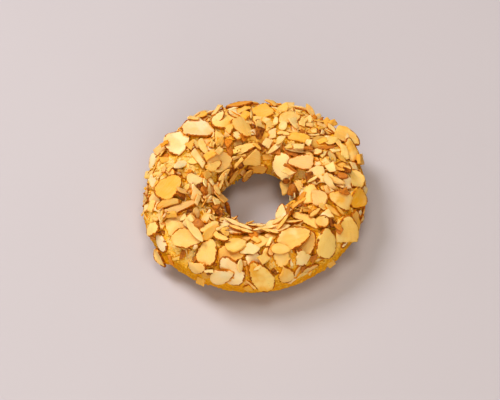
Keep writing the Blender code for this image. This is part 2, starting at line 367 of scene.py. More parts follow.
class Parts:
    """Points, faces and attributes of one or many bits, gathered for one mesh."""

    # The kind of attribute, and its field, for so many numbers at each point.
    KINDS = {1: ("FLOAT", "value"), 3: ("FLOAT_VECTOR", "vector"), 4: ("FLOAT_COLOR", "color")}

    def __init__(self):
        self.points, self.faces, self.count = [], [], 0
        self.values = {}

    def add(self, points, faces, **values):
        """Put in one more bit. A value is given for each of its points or once for all."""
        self.faces.append(faces + self.count)
        self.points.append(points)
        self.count += len(points)
        for name, value in values.items():
            value = np.asarray(value, float)
            if value.ndim == 0 or (value.ndim == 1 and len(value) != len(points)):
                value = np.broadcast_to(value, (len(points),) + value.shape)
            self.values.setdefault(name, []).append(value)

    def joined(self):
        """All the points and all the faces."""
        return np.concatenate(self.points), np.concatenate(self.faces)

    def tree(self):
        points, faces = self.joined()
        return BVHTree.FromPolygons(points.tolist(), faces.tolist())

    def piece(self, name, material, slot, pile, *nodes):
        """Make the visible piece. Faces of three corners are stored with the last one twice."""
        points, faces = self.joined()
        mesh = bpy.data.meshes.new(name)
        corners = [face[:3] if face[2] == face[3] else face for face in faces.tolist()]
        mesh.from_pydata(points.tolist(), [], corners)
        # the occlusion at each point, which the materials paint as shade
        self.values["between"] = [occlusion_for_painted_shade(points, normals_of(mesh), pile)]
        for key, values in self.values.items():
            values = np.concatenate(values).astype(np.float32)
            kind, field = self.KINDS[values.size // len(points)]
            mesh.attributes.new(key, kind, "POINT").data.foreach_set(field, values.ravel())
        mesh.shade_smooth()
        mesh.materials.append(material)
        piece = bpy.data.objects.new(name, mesh)
        bpy.context.scene.collection.objects.link(piece)
        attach(piece, "root")
        if nodes:
            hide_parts(*nodes)


def ring_faces(rings, count):
    """Faces between rings of points, from around the middle of the top to around that of the underside."""
    step = np.arange(count)
    ahead = (step + 1) % count
    faces = []
    for ring in range(rings - 1):
        upper, lower = ring * count, (ring + 1) * count
        faces.append(np.stack([upper + step, lower + step, lower + ahead, upper + ahead], axis=1))
    last = (rings - 1) * count
    top, bottom = np.full(count, rings * count), np.full(count, rings * count + 1)
    faces.append(np.stack([step, ahead, top, top], axis=1))
    faces.append(np.stack([last + ahead, last + step, bottom, bottom], axis=1))
    return np.concatenate(faces)


def ripple(x, y, rng, size, length):
    """A gentle unevenness: a few waves in random directions."""
    height = np.zeros(len(x))
    for _ in range(3):
        turn, start = rng.uniform(0, math.tau, 2)
        stretch = rng.uniform(0.6, 1.5) * length
        height += size / 2 * np.sin((x * math.cos(turn) + y * math.sin(turn)) * math.tau / stretch + start)
    return height


def curled(x, y, curl):
    """How far a slice's places are lifted. curl is the height at its edge and the direction in radians."""
    height, turn = curl
    reach = x * math.cos(turn) + y * math.sin(turn)
    return height * np.clip(reach / reach.max() - CURL_FROM, 0, 1) ** 2 / (1 - CURL_FROM) ** 2


def leaf(outline, thickness, bend, curl, make, rng):
    """A thin slice with this outline, lying flat: its points, its faces and how far they are from its edge.

    bend is how far the ends of its length and of its width lie below its middle.
    """
    radius = np.linalg.norm(outline, axis=1)
    rim = [1 - np.minimum(inset, MOST_INSET * radius) / radius for inset in RIM_INSETS]
    flat = rim[-1]
    shares = [flat * share for share in reversed(make.top)] + rim[::-1] + rim[1:]
    shares += [flat * share for share in make.under]
    heights = [1.0] * len(make.top) + list(reversed(RIM_HEIGHTS)) + [-h for h in RIM_HEIGHTS[1:]]
    heights += [-1.0] * len(make.under)
    x, y = np.concatenate([outline * share[:, None] for share in shares] + [np.zeros((2, 2))]).T
    side = np.concatenate([np.full(len(outline), height) for height in heights] + [[1.0, -1.0]])
    inset = np.concatenate([radius * (1 - share) for share in shares] + [[radius.min()] * 2])
    half_length, half_width = np.abs(outline).max(axis=0)
    sag = bend[0] * (x / half_length) ** 2 + bend[1] * (y / half_width) ** 2
    middle = ripple(x, y, rng, make.ripple, half_length * RIPPLE_STRETCH) - sag + curled(x, y, curl)
    uneven = 1 + ripple(x, y, rng, THICKNESS_RIPPLE, THICKNESS_RIPPLE_LENGTH)
    z = middle + side * thickness / 2 * uneven
    return np.stack([x, y, z], axis=1), ring_faces(len(shares), len(outline)), inset


# -------- how each large flake looks

# How far a flake's middle is browned, how much brown skin its rim kept, and the direction in the
# photograph, in degrees, in which that skin is strongest. On that side, mostly the lower, shaded one, the
# brown rim is partly painted shade.
Look = namedtuple("Look", "colour toast skin side", defaults=(0,))
LOOKS = {
    1: (WHITE, 0.2, 0.3), 2: (WHITE, 0.3, 0.4), 3: (PALE, 0.2, 0.3), 4: (TAN, 0.5, 0.6),
    5: (PALE, 0.2, 0.1, -90), 6: (CREAM, 0.4, 0.3, 180), 7: (PALE, 0.3, 0.1, -90),
    8: (PALE, 0.3, 0.9, -120), 9: (CREAM, 0.2, 0.5, -30), 10: (GOLDEN, 0.4, 1.0, 200), 11: (PALE, 0.3, 0.1),
    12: (CREAM, 0.15, 0.2), 13: (WHITE, 0.35, 0.9, -70), 14: (GOLDEN, 0.4, 0.9, -30),
    15: (GOLDEN, 0.2, 0.5), 16: (AMBER, 0.4, 1.0, 90), 17: (WHITE, 0.4, 0.9, -80),
    18: (CREAM, 0.6, 0.8, -40), 19: (TAN, 0.2, 0.6, -60), 20: (CREAM, 0.3, 0.3), 21: (GOLDEN, 0.4, 0.6, 20),
    22: (CREAM, 0.5, 0.3), 23: (SHADE, 0.3, 0.3), 24: (GOLDEN, 0.4, 0.4, -90), 25: (CREAM, 0.7, 1.0, 160),
    26: (PALE, 0.1, 0.5, -100), 27: (PINK, 0.05, 0.6, 100), 28: (PALE, 0.2, 0.4, 170),
    29: (HONEY, 0.3, 0.8, -100), 30: (GOLDEN, 1.0, 0.5), 31: (CREAM, 0.45, 0.5, 60), 32: (PINK, 0.05, 0.1),
    33: (CREAM, 0.9, 0.8, -60), 34: (GOLDEN, 0.6, 0.5), 35: (HONEY, 0.4, 0.6, 60), 36: (TAN, 0.2, 0.4),
    37: (TAN, 0.0, 0.5, -60), 38: (PALE, 0.6, 1.0, -120), 39: (HONEY, 0.2, 1.0, -100),
    40: (WHITE, 0.2, 0.9, 20), 41: (PALE, 0.2, 0.9, -20), 42: (CREAM, 0.45, 0.3), 43: (CREAM, 0.5, 0.5, 90),
    44: (WHITE, 0.3, 0.5, 180), 45: (HONEY, 0.8, 0.6, 200), 46: (TAN, 0.2, 0.4, -60),
    47: (WHITE, 0.3, 0.6, -20), 48: (WHITE, 0.3, 0.2), 49: (CREAM, 0.5, 0.1), 50: (CREAM, 0.2, 0.9, -100),
    51: (CREAM, 0.25, 0.2), 52: (CREAM, 0.2, 0.4), 53: (PINK, 0.1, 0.6, -90), 54: (CREAM, 0.3, 1.0, -80),
    55: (CREAM, 0.2, 1.0, 90), 56: (CREAM, 0.6, 1.0, -60), 57: (WHITE, 0.0, 0.4, 0),
    58: (CREAM, 0.15, 1.0, -60), 59: (CREAM, 0.1, 0.9, -60),
}
FLAKE_STEPS = 96
FLAKE_SEED = 100  # to which a flake's number is added
PATTERN_STEP = 7.3  # how far each flake's streaks are shifted against the one before
FLAKE_THICKNESS = 1.05 * MM
MOST_CURL = 1.9 * MM
ROOM_ABOVE = 0.3 * MM  # by which a curl may stand above the highest solid
DISHED_SHARE = 0.4  # of the flakes are hollow across their width, not domed
BREAK_SHARE = 0.21  # an edge of the solid flake that is longer than this share of it is a break
MOST_BEND = 1.0 * MM
BEND_SHARE = 0.45  # of the gap below a flake's tip
TIP_SHARE = 0.9  # of the way out to a flake's edge, where that gap is measured
START_BELOW = 0.55 * MM  # a flake's own middle plane, which is just past its underside
MOST_GAP = 6 * MM
LIGHTEST = 0.96  # for each part of a flake's colour


def facing(outward, axes, side):
    """How much each direction in a flake's plane points to one side in the photograph, from 0 to 1."""
    right = outward @ np.array([axes[0].dot(RIGHT), axes[1].dot(RIGHT)])
    up = outward @ np.array([axes[0].dot(UP), axes[1].dot(UP)])
    length = np.maximum(np.hypot(right, up), 1e-9)
    turn = math.radians(side)
    return 0.5 + 0.5 * (right * math.cos(turn) + up * math.sin(turn)) / length


def skin_left(piece, rng):
    """How much brown skin is left along a slice's outline: uneven, and more on one side, where the brown
    rim is partly painted shade.
    """
    outline, look = piece.outline, piece.look
    if not look.skin:
        return piece.natural * 0
    patches = 0.5 + 0.9 * smoothed(rng.normal(size=len(outline)), 20) * len(outline) ** 0.25
    skin_and_shade_side = 0.35 + 0.65 * facing(outline, piece.axes, look.side)
    return piece.natural * np.clip(2.0 * look.skin * skin_and_shade_side * (0.6 + patches), 0, 1)


class SolidFlake:
    """Middle, axes and outline of a flake's solid, read from its node."""

    def __init__(self, node):
        points = np.unique(np.round([v.co[:] for v in node.data.vertices], 7), axis=0)
        middle = points.mean(axis=0)
        axes = np.linalg.svd(points - middle, full_matrices=False)[2]
        around, over = dough_shape.angles(middle)
        if axes[2] @ (middle - np.array(dough_shape.core(around))) < 0:
            axes[2] *= -1
        axes[1] = np.cross(axes[2], axes[0])
        local = (points - middle) @ axes.T
        top = local[local[:, 2] > 0][:, :2]
        top = top[np.argsort(np.arctan2(top[:, 1], top[:, 0]))]
        lengths = np.linalg.norm(np.roll(top, -1, axis=0) - top, axis=1)
        self.corners = top
        self.broken = lengths > BREAK_SHARE * np.ptp(top[:, 0])
        self.middle = Vector(middle)
        self.axes = [Vector(axis) for axis in axes]

    def place(self, x, y, z):
        return self.middle + self.axes[0] * x + self.axes[1] * y + self.axes[2] * z


def all_solids_tree():
    """Every solid of the frame as one body of faces."""
    points, faces = [], []
    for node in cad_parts.values():
        first = len(points)
        points += [v.co for v in node.data.vertices]
        faces += [[first + index for index in p.vertices] for p in node.data.polygons]
    return BVHTree.FromPolygons(points, faces)


def bend_of(flake, tree):
    """How far a flake's ends reach down to what lies below them."""
    half_length, half_width = np.abs(flake.corners).max(axis=0)
    bends = []
    for x, y in ((half_length, 0), (0, half_width)):
        gaps = []
        for side in (1, -1):
            start = flake.place(TIP_SHARE * x * side, TIP_SHARE * y * side, -START_BELOW)
            hit = tree.ray_cast(start, -flake.axes[2], MOST_GAP)
            gaps.append(MOST_GAP if hit[0] is None else hit[3])
        bends.append(min(MOST_BEND, BEND_SHARE * sum(gaps) / 2))
    return bends


def world_points(local, middle, axes):
    """Points given along a piece's own axes, in the shared frame."""
    return np.array(middle) + local @ np.array([axis[:] for axis in axes])


def tinted(look, rng, spread):
    """A flake's colour, a little lighter or darker than its kind, with its browning as the fourth value."""
    light = 1 + rng.uniform(-spread, spread)
    colour = np.clip(np.array(look.colour) * light * (1 + rng.uniform(-0.02, 0.02, 3)), 0, LIGHTEST)
    return np.append(colour, look.toast)


def add_slice(parts, piece, make, bend, curl, rng, pattern=None):
    """Put the mesh of one slice among the parts."""
    local, faces, inset = leaf(piece.outline, piece.thickness, bend, curl, make, rng)
    skin = skin_left(piece, rng)
    rings = (len(local) - 2) // len(skin)
    if pattern is None:
        pattern = rng.uniform(0, MOST_PATTERN)
    parts.add(world_points(local, piece.middle, piece.axes), faces, inset=inset / MM,
              skin=np.append(np.tile(skin, rings), [0, 0]),
              leaf=np.column_stack([local[:, :2] / MM, np.full(len(local), pattern)]),
              tint=tinted(piece.look, rng, make.spread))


def shape_flake(name, tree):
    """The mesh of one large flake, shaped on its solid."""
    number = int(name[-2:])
    rng = np.random.default_rng(FLAKE_SEED + number)
    flake = SolidFlake(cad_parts[name])
    outline, natural = fine_outline(flake.corners, flake.broken, FLAKE_STEPS, rng, LARGE_JAG)
    bend = bend_of(flake, tree)
    if rng.uniform() < DISHED_SHARE:
        bend[1] *= -1
    room = cad_box[1][2] + ROOM_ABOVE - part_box(name)[1][2]
    curl = (rng.uniform(0, min(MOST_CURL, room)), rng.uniform(-0.5, 0.5) + rng.choice([0, math.pi]))
    piece = Slice(outline, natural, flake.middle, flake.axes, FLAKE_THICKNESS, Look(*LOOKS[number]))
    parts = Parts()
    add_slice(parts, piece, LARGE_MAKE, bend, curl, rng, number * PATTERN_STEP)
    return parts


def shape_flakes():
    """The mesh of each flake, by its solid's name, and all of them as one body of faces."""
    tree = all_solids_tree()
    names = sorted(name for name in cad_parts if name.startswith("almond_flake_"))
    flakes = {name: shape_flake(name, tree) for name in names}
    together = Parts()
    for parts in flakes.values():
        together.add(*parts.joined())
    return flakes, together


# -------- the dough as a mesh

DOUGH_STEPS_AROUND = 540
DOUGH_FINE_STEPS = 150
DOUGH_BASE_STEPS = 14
FINE_FROM, FINE_TO = math.radians(-38), math.radians(215)
PILLOW_REACH = 6.0 * MM  # the dough rises to flakes that are nearer than this
MOST_PILLOW = 2.4 * MM
PILLOW_SOFTENING = 3  # grid steps
PILLOW_FROM = 0.2 * MM  # what of the gap below a flake the dough doesn't fill
MOST_OVERLAP = 0.15 * MM  # how far the dough may rise into a flake
BASE_FADE = 2.5 * MM  # height over which the darker base goes over into the wall
USUAL_RELIEF = 0.9 * MM  # of the crumbs, to which the dough's colours are tuned

WASHED_TO, WASHED_FADE = 19, 10  # degrees over: where the washed lower wall ends, and how softly

# In the hole the dough stands back, to make room for small pieces, but not at the back, where the
# photograph shows it on the solid. A dent in the hole's right wall is deeper.
HOLE_SETBACK = 1.5 * MM
HOLE_WALL_FROM, HOLE_WALL_WIDTH = 0.30, 0.50  # cosines of how far a surface faces the hole
HOLE_BACK_AROUND, HOLE_BACK_WIDTH = math.radians(112), math.radians(32)
HOLE_DENT = 2.4 * MM
HOLE_DENT_AROUND, HOLE_DENT_WIDTH = math.radians(-2), math.radians(15)


def over_steps():
    """The angles over the dough at which it has points: close together, but for the base."""
    fine = np.linspace(FINE_FROM, FINE_TO, DOUGH_FINE_STEPS, endpoint=False)
    base = np.linspace(FINE_TO, FINE_FROM + math.tau, DOUGH_BASE_STEPS, endpoint=False)
    return np.concatenate([fine, base])


def spread_out(grid, width):
    """A grid that closes on itself, with each value averaged over its neighbours."""
    for _ in range(width):
        grid = smoothed(smoothed(grid, axis=0), axis=1)
    return grid


def bareness(over, place):
    """1 on the smooth egg-washed lower wall, 0 where the dough is sandy."""
    if over > math.pi / 2:
        return 0.0
    edge = WASHED_TO + 11 * noise.noise(place / (14 * MM)) + 6 * noise.noise(place / (5 * MM))
    return min(1.0, max(0.0, (edge - math.degrees(over)) / WASHED_FADE))


def lump(place, size):
    """A heap of rounded grains: 1 on top of a grain and 0 between grains."""
    distances, centres = noise.voronoi(place / size)
    height = max(0.0, 1 - (distances[0] / 0.75) ** 2)
    return height * (0.45 + 0.55 * noise.cell(centres[0] * 7.1))


def sandy_height(place):
    """The crumbly surface of the dough, from its grains and pores."""
    waver = Vector(noise.noise_vector(place / (2.0 * MM))) * 0.6 * MM
    swell = noise.noise(place / (4.5 * MM))
    coarse = lump(place + waver, 2.1 * MM)
    fine = lump(place + waver, 1.2 * MM)
    grit = noise.noise(place / (0.5 * MM))
    pore = max(0.0, noise.noise(place / (1.6 * MM) + Vector((9, 3, 5))) - 0.30)
    return (0.6 * swell + 0.22 * coarse + 0.38 * fine + 0.16 * grit - 1.2 * pore) * MM


def washed_height(place):
    """The uneven crust of the washed lower wall, with its pits."""
    swell = noise.noise(place / (7 * MM)) * 0.35
    crust = noise.noise(place / (2.2 * MM)) * 0.55 + lump(place, 1.8 * MM) * 0.42
    grit = noise.noise(place / (1.1 * MM)) * 0.28
    pit = max(0.0, noise.noise(place / (1.3 * MM) + Vector((2, 7, 1))) - 0.38) * 1.3
    return (swell + crust + grit - pit) * MM


def hole_setback(around, over):
    """How far the dough stands back from its solid in the hole."""
    inward = np.clip((-np.cos(over) - HOLE_WALL_FROM) / HOLE_WALL_WIDTH, 0, 1)
    at_back = np.exp((np.cos(around - HOLE_BACK_AROUND) - 1) / HOLE_BACK_WIDTH ** 2)
    in_dent = np.exp((np.cos(around - HOLE_DENT_AROUND) - 1) / HOLE_DENT_WIDTH ** 2)
    return inward * (HOLE_SETBACK * (1 - at_back) + HOLE_DENT * in_dent)


def read_dough(smooth, normals, over, flakes_tree):
    """At every place but the base's: the gap to the flakes, the height of the crumbs and the bareness."""
    gap = np.full(smooth.shape[:2], PILLOW_REACH)
    relief, bare = np.zeros(gap.shape), np.zeros(gap.shape)
    for i, j in np.ndindex(len(gap), DOUGH_FINE_STEPS):
        place = Vector(smooth[i, j])
        distance = flakes_tree.ray_cast(place, Vector(normals[i, j]), PILLOW_REACH)[3]
        if distance is not None:
            gap[i, j] = distance
        bare[i, j] = bareness(over[j], place)
        sandy = sandy_height(place) if bare[i, j] < 1 else 0.0
        washed = washed_height(place) if bare[i, j] > 0 else 0.0
        relief[i, j] = sandy * (1 - bare[i, j]) + washed * bare[i, j]
    return gap, relief, bare


def raised_to_flakes(height, gap):
    """The dough's height where it swells up to the flakes that lie just above it."""
    covered = gap < PILLOW_REACH
    pillow = np.where(covered, np.clip(gap - PILLOW_FROM, 0, MOST_PILLOW), 0.0)
    raised = height + spread_out(pillow, PILLOW_SOFTENING)
    return np.where(covered, np.minimum(raised, gap + MOST_OVERLAP), raised)


def grid_faces(shape):
    """The faces of a grid of points that closes on itself both ways."""
    step = np.arange(shape[0] * shape[1]).reshape(shape)
    ahead_around, ahead_over = np.roll(step, -1, axis=0), np.roll(step, -1, axis=1)
    corner = np.roll(ahead_around, -1, axis=1)
    return np.stack([step, ahead_around, corner, ahead_over], axis=-1).reshape(-1, 4)


def shape_dough(flakes_tree):
    """The crumbly mesh of the dough, as a grid of points around the ring and over it."""
    over = over_steps()
    around = np.arange(DOUGH_STEPS_AROUND) * math.tau / DOUGH_STEPS_AROUND
    around_grid, over_grid = np.meshgrid(around, over, indexing="ij")
    smooth = dough_shape.points(around_grid, over_grid)
    normals = dough_shape.normals(around_grid, over_grid)
    gap, relief, bare = read_dough(smooth, normals, over, flakes_tree)
    raised = raised_to_flakes(relief - hole_setback(around_grid, over_grid), gap)
    points = smooth + normals * raised[:, :, None]
    points[:, :, 2] = np.maximum(points[:, :, 2], 0)
    base = np.clip((BASE_FADE - points[:, :, 2]) / BASE_FADE, 0, 1)
    parts = Parts()
    parts.add(points.reshape(-1, 3), grid_faces(raised.shape), relief=(relief / USUAL_RELIEF).ravel(),
              bare=bare.ravel(), base=base.ravel())
    return parts


# -------- small pieces

Chip = namedtuple("Chip", "column row turn length width shape colour skin rise thickness",
                  defaults=(0.0, 0, 0.7))
# Small pieces of almond that the photograph shows: the pixel of the middle, the direction of the long axis
# in the photograph in degrees, length and width in millimetres, shape, colour, how much skin the rim kept,
# by how many degrees it is raised towards the viewer from lying flat, and its thickness in millimetres.
BACK_LEFT_CHIPS = [
    (193.9, 118.3, 10, 6, 3.5, "block", CREAM), (203.9, 116.8, 15, 8, 4, "shard", GOLDEN),
    (215.3, 108.5, 35, 8.5, 2.6, "block", PALE, 0, 20),
    (218.2, 118.0, 40, 9, 4.6, "egg", PALE, 1.0, 22, 1.0), (160.6, 144.0, 30, 5, 3, "block", AMBER),
    (160.0, 151.5, 45, 6.5, 5, "block", PINK, 1.0, 35, 2.2),
    (153.0, 162.0, 72, 9, 6, "egg", WHITE, 0.2, 45), (147.8, 175.0, 20, 5, 4, "block", CREAM, 0, 20),
    (154.0, 182.0, 60, 7, 5, "shard", WHITE, 0, 25), (164.8, 170.3, 80, 3, 2.6, "block", PINK, 0, 0, 1.4),
    (180.9, 164.6, 45, 12, 3.8, "lens", WHITE, 0, 15), (198.1, 158.1, -52, 10.5, 3.3, "block", PALE),
    (202.7, 148.1, -65, 9.5, 4, "half", CREAM), (211.5, 145.5, 70, 4, 2.6, "block", CREAM, 0, 0, 1.6),
    (219.9, 142.8, 70, 6.5, 3.6, "lens", GOLDEN), (210.4, 155.8, 30, 7, 3.6, "block", GOLDEN, 0, 0, 1.8),
    (217.8, 151.8, 48, 5, 3.2, "block", CREAM, 0, 0, 1.6), (229.1, 130.6, 60, 5.5, 4, "egg", TAN, 0.4),
    (226.0, 136.4, 0, 4, 3, "shard", PINK), (236.0, 151.2, 20, 4, 3, "block", CREAM),
    (247.0, 147.4, 18, 12, 4.6, "tip", CREAM, 0.5), (237.5, 156.5, 25, 7.5, 2, "block", PALE),
    (236.4, 162.0, 38, 8, 2, "block", TAN), (249.6, 157.5, -20, 10, 8, "shard", TAN, 0.3),
    (214.6, 167.0, 20, 8, 5, "half", TAN, 0.8), (203.9, 183.6, 80, 6.5, 3, "lens", PALE),
    (210.2, 180.5, -58, 7.5, 2.6, "lens", PALE), (208.7, 189.5, -75, 6, 2, "block", PALE),
    (213.8, 191.8, -70, 6, 3, "lens", CREAM), (206.2, 174.9, 40, 5, 4, "block", TAN),
    (220.0, 184.4, 72, 6, 1.4, "block", CREAM, 0, 10), (219.7, 175.0, 58, 8, 2.6, "lens", CREAM, 0, 10),
    (224.5, 180.5, -74, 6.5, 1.3, "block", CREAM, 0, 10), (225.5, 175.6, -70, 4, 1.1, "block", PALE, 0, 10),
    (232.0, 176.0, 60, 9, 3.4, "lens", GOLDEN, 0.2, 10), (246.4, 173.5, 68, 9, 5.5, "egg", GOLDEN, 0.9, 10),
    (184.0, 193.0, 5, 7, 4.5, "half", PINK), (194.3, 195.0, 30, 6.5, 5.5, "shard", PALE),
    (197.5, 200.5, 70, 6, 2.6, "block", PALE), (166.0, 160.5, 20, 6, 4, "block", GOLDEN),
    (171.5, 168.0, 35, 5, 3, "block", CREAM), (190.0, 145.5, 80, 6, 4, "shard", GOLDEN),
]
BACK_RIGHT_CHIPS = [
    (272.4, 106.2, -32, 9, 4, "half", TAN, 0, 28), (282.3, 110.5, 42, 9.5, 5, "egg", CREAM, 0, 40),
    (289.4, 107.0, 30, 8, 4.5, "shard", CREAM, 0, 45), (294.8, 124.0, -62, 7, 5, "tip", PALE),
    (283.1, 127.3, 60, 5, 4, "round", PALE), (269.0, 126.0, 30, 7, 4, "shard", CREAM),
    (276.0, 122.0, 70, 6, 3.4, "half", PALE), (309.7, 112.6, -35, 8.5, 3.4, "lens", CREAM, 0, 45),
    (308.8, 121.5, 80, 7.5, 5, "shard", PALE, 0, 30), (309.5, 126.0, 0, 4.5, 2.6, "block", PINK),
    (317.1, 118.0, 75, 6.5, 3.6, "lens", PALE, 0, 50),
    (327.5, 120.5, 45, 5, 4.4, "block", GOLDEN, 0, 45, 1.2),
    (334.8, 124.0, 40, 4.4, 3.6, "block", GOLDEN, 0, 40, 1.4),
    (331.2, 130.2, -55, 8, 3, "lens", PALE, 0.3, 10), (321.0, 128.5, 20, 4, 2, "block", GOLDEN),
    (314.5, 131.5, -20, 5, 3, "shard", CREAM), (322.5, 132.6, 80, 2.6, 2, "block", WHITE),
    (330.4, 142.8, 20, 7.5, 4.6, "egg", CREAM), (337.0, 143.5, -52, 7.5, 3.6, "half", CREAM),
    (345.7, 139.8, 85, 6.5, 2, "lens", WHITE, 0, 20), (318.0, 152.0, -30, 5.4, 4.6, "round", PALE, 0.6),
    (324.6, 153.8, 50, 7.5, 2.2, "block", PALE), (331.5, 157.6, -55, 8, 5, "egg", PALE, 0.2),
    (338.7, 156.3, -60, 9.5, 4, "half", GOLDEN, 0.3), (344.0, 152.6, -72, 9.5, 4, "block", CREAM, 0.2, 10),
    (362.5, 160.5, 5, 7.5, 5, "block", GOLDEN, 0.8, 10, 2.0), (298.0, 152.2, -15, 9, 4, "tip", PALE),
    (299.4, 149.0, 10, 5.8, 3.8, "block", PALE), (289.5, 147.0, -25, 6, 3.6, "shard", CREAM),
    (275.7, 147.2, 38, 10, 2.6, "lens", WHITE, 0, 10), (281.0, 139.8, 30, 7.5, 4, "shard", PALE),
    (284.0, 134.0, -10, 6, 3, "half", CREAM), (267.4, 143.9, 60, 5, 4, "block", PALE),
    (256.6, 145.6, -62, 6.5, 2, "lens", TAN), (326.3, 163.2, -60, 6, 4, "block", PALE),
    (313.0, 179.4, 28, 6.5, 1.6, "lens", PALE), (296.0, 174.0, -12, 8.0, 5, "shard", PALE, 0.2, 30),
    (331.5, 171.5, -20, 6, 4.5, "shard", PALE), (352.4, 168.5, -75, 6, 4, "block", PALE, 0, 10),
    (347.0, 167.5, 70, 5, 3, "shard", CREAM), (335.4, 181.8, -20, 10, 3, "lens", PALE),
    (328.7, 184.5, -60, 8.5, 4, "half", PALE), (326.5, 190.0, -70, 5, 2, "block", PINK),
    (286.5, 186.5, 70, 8.0, 6.6, "shard", CREAM, 1.0, 62, 1.2),
    (299.7, 186.0, 70, 6.5, 4.6, "shard", PALE, 0.2, 20), (302.0, 197.5, 60, 6, 3, "block", AMBER),
    (303.0, 122.0, 60, 6, 3.4, "block", CREAM), (300.5, 114.5, -60, 5, 3.5, "shard", GOLDEN),
    (322.0, 142.0, 10, 5, 3, "block", GOLDEN), (309.0, 143.0, 60, 5, 3, "shard", PALE),
]
FRONT_LEFT_CHIPS = [
    (144.6, 211.5, 65, 6.5, 1.4, "block", CREAM, 0, 20), (147.0, 218.0, -70, 6, 1.2, "block", CREAM, 0, 20),
    (158.7, 209.6, -12, 9, 5.5, "shard", PALE), (152.0, 205.5, 60, 6, 3, "block", CREAM, 0, 15),
    (168.7, 203.4, 20, 11, 4.6, "half", TAN, 0.6), (196.2, 215.0, 80, 8.5, 4.2, "lens", PINK, 0.2),
    (207.0, 203.4, 80, 4.4, 2.2, "lens", WHITE), (215.3, 203.4, 30, 6, 3.6, "shard", PALE),
    (209.2, 212.3, 80, 5, 3, "lens", WHITE, 0.8), (226.8, 212.5, -45, 11, 4.6, "half", TAN, 1.0),
    (206.2, 219.4, 60, 6.5, 4, "block", PALE), (212.5, 220.4, -20, 5, 3, "shard", CREAM),
    (184.7, 218.4, 0, 6.5, 3, "shard", PALE), (189.0, 222.0, 40, 6, 4, "block", PALE),
    (194.4, 230.9, -50, 13.5, 4.4, "lens", PALE), (211.0, 234.0, 42, 10.5, 4.6, "egg", TAN),
    (221.5, 229.6, 25, 8, 1.6, "block", PALE), (223.5, 232.4, 15, 6, 1.4, "block", CREAM),
    (220.7, 241.2, -30, 8.5, 4, "half", CREAM, 0.9), (225.6, 235.0, -60, 5, 3, "shard", TAN),
    (238.7, 226.4, -22, 16, 2.4, "lens", PALE, 0.3), (240.6, 230.9, -14, 13, 2.8, "lens", CREAM, 0.3),
    (246.0, 222.8, 8, 7, 2, "block", CREAM, 0.4), (200.8, 280.6, 78, 5.2, 4.2, "block", GOLDEN, 0.2, 20),
    (211.5, 269.0, 5, 5.2, 1.6, "block", PALE), (239.8, 266.0, 80, 6.5, 3, "lens", PALE),
    (196.2, 247.7, 30, 3, 2.2, "round", WHITE), (155.7, 219.4, -20, 3.4, 2, "block", PINK),
    (164.0, 221.0, 70, 4, 1.4, "block", CREAM), (149.8, 239.3, 15, 4.4, 1.4, "block", GOLDEN),
    (170.6, 260.0, -75, 7, 1.8, "block", AMBER, 0, 20), (171.0, 214.5, 10, 6, 3, "block", GOLDEN),
    (162.0, 215.0, -50, 5, 3, "shard", CREAM),
]
FRONT_RIGHT_CHIPS = [
    (281.5, 213.5, 68, 11, 5.5, "egg", PALE, 1.0, 25), (302.2, 210.3, 12, 9.5, 4.4, "tip", GOLDEN, 0.4),
    (314.7, 213.2, 35, 7.5, 3, "lens", TAN, 0.5), (293.4, 224.0, 5, 8.5, 2.4, "half", PALE, 0.9),
    (283.0, 224.4, 45, 10, 1.8, "lens", TAN), (325.4, 214.0, -15, 7, 4.8, "shard", WHITE),
    (321.5, 224.0, 60, 7.5, 6.5, "round", CREAM, 0.4), (332.1, 211.5, -30, 9.5, 3.4, "lens", CREAM),
    (339.5, 211.8, -50, 6.5, 1.4, "lens", GOLDEN), (309.7, 267.6, 25, 9.5, 3.2, "lens", PINK, 1.0, 10),
    (318.0, 259.6, 30, 3, 2.2, "round", PALE), (332.9, 265.4, -42, 5.4, 4.2, "block", GOLDEN, 0, 20),
    (271.7, 249.7, 75, 7.5, 3.6, "egg", PINK, 0.9), (280.7, 249.2, -10, 9, 5, "egg", CREAM),
    (260.8, 245.0, 20, 9, 7, "shard", CREAM), (250.4, 252.6, 10, 9, 6, "shard", PALE, 0.2),
    (264.2, 259.4, 35, 6.5, 5, "block", CREAM), (257.4, 267.6, 35, 4.4, 1.6, "lens", PALE),
    (262.0, 231.0, 12, 9, 1.8, "lens", PALE, 0.3), (270.0, 233.0, -14, 10, 1.6, "lens", CREAM, 0.3),
    (256.0, 226.5, -5, 9, 1.6, "lens", CREAM, 0.4), (267.0, 228.0, 8, 9, 1.6, "lens", PALE),
    (278.5, 221.5, 30, 7, 1.8, "lens", PALE), (338.0, 227.5, -40, 4.5, 3, "shard", AMBER),
    (256.0, 240.5, -35, 5, 3, "block", CREAM), (269.5, 241.5, 60, 5, 2.2, "block", PALE),
]
CHIP_STEPS = 40
CHIP_SEED = 300

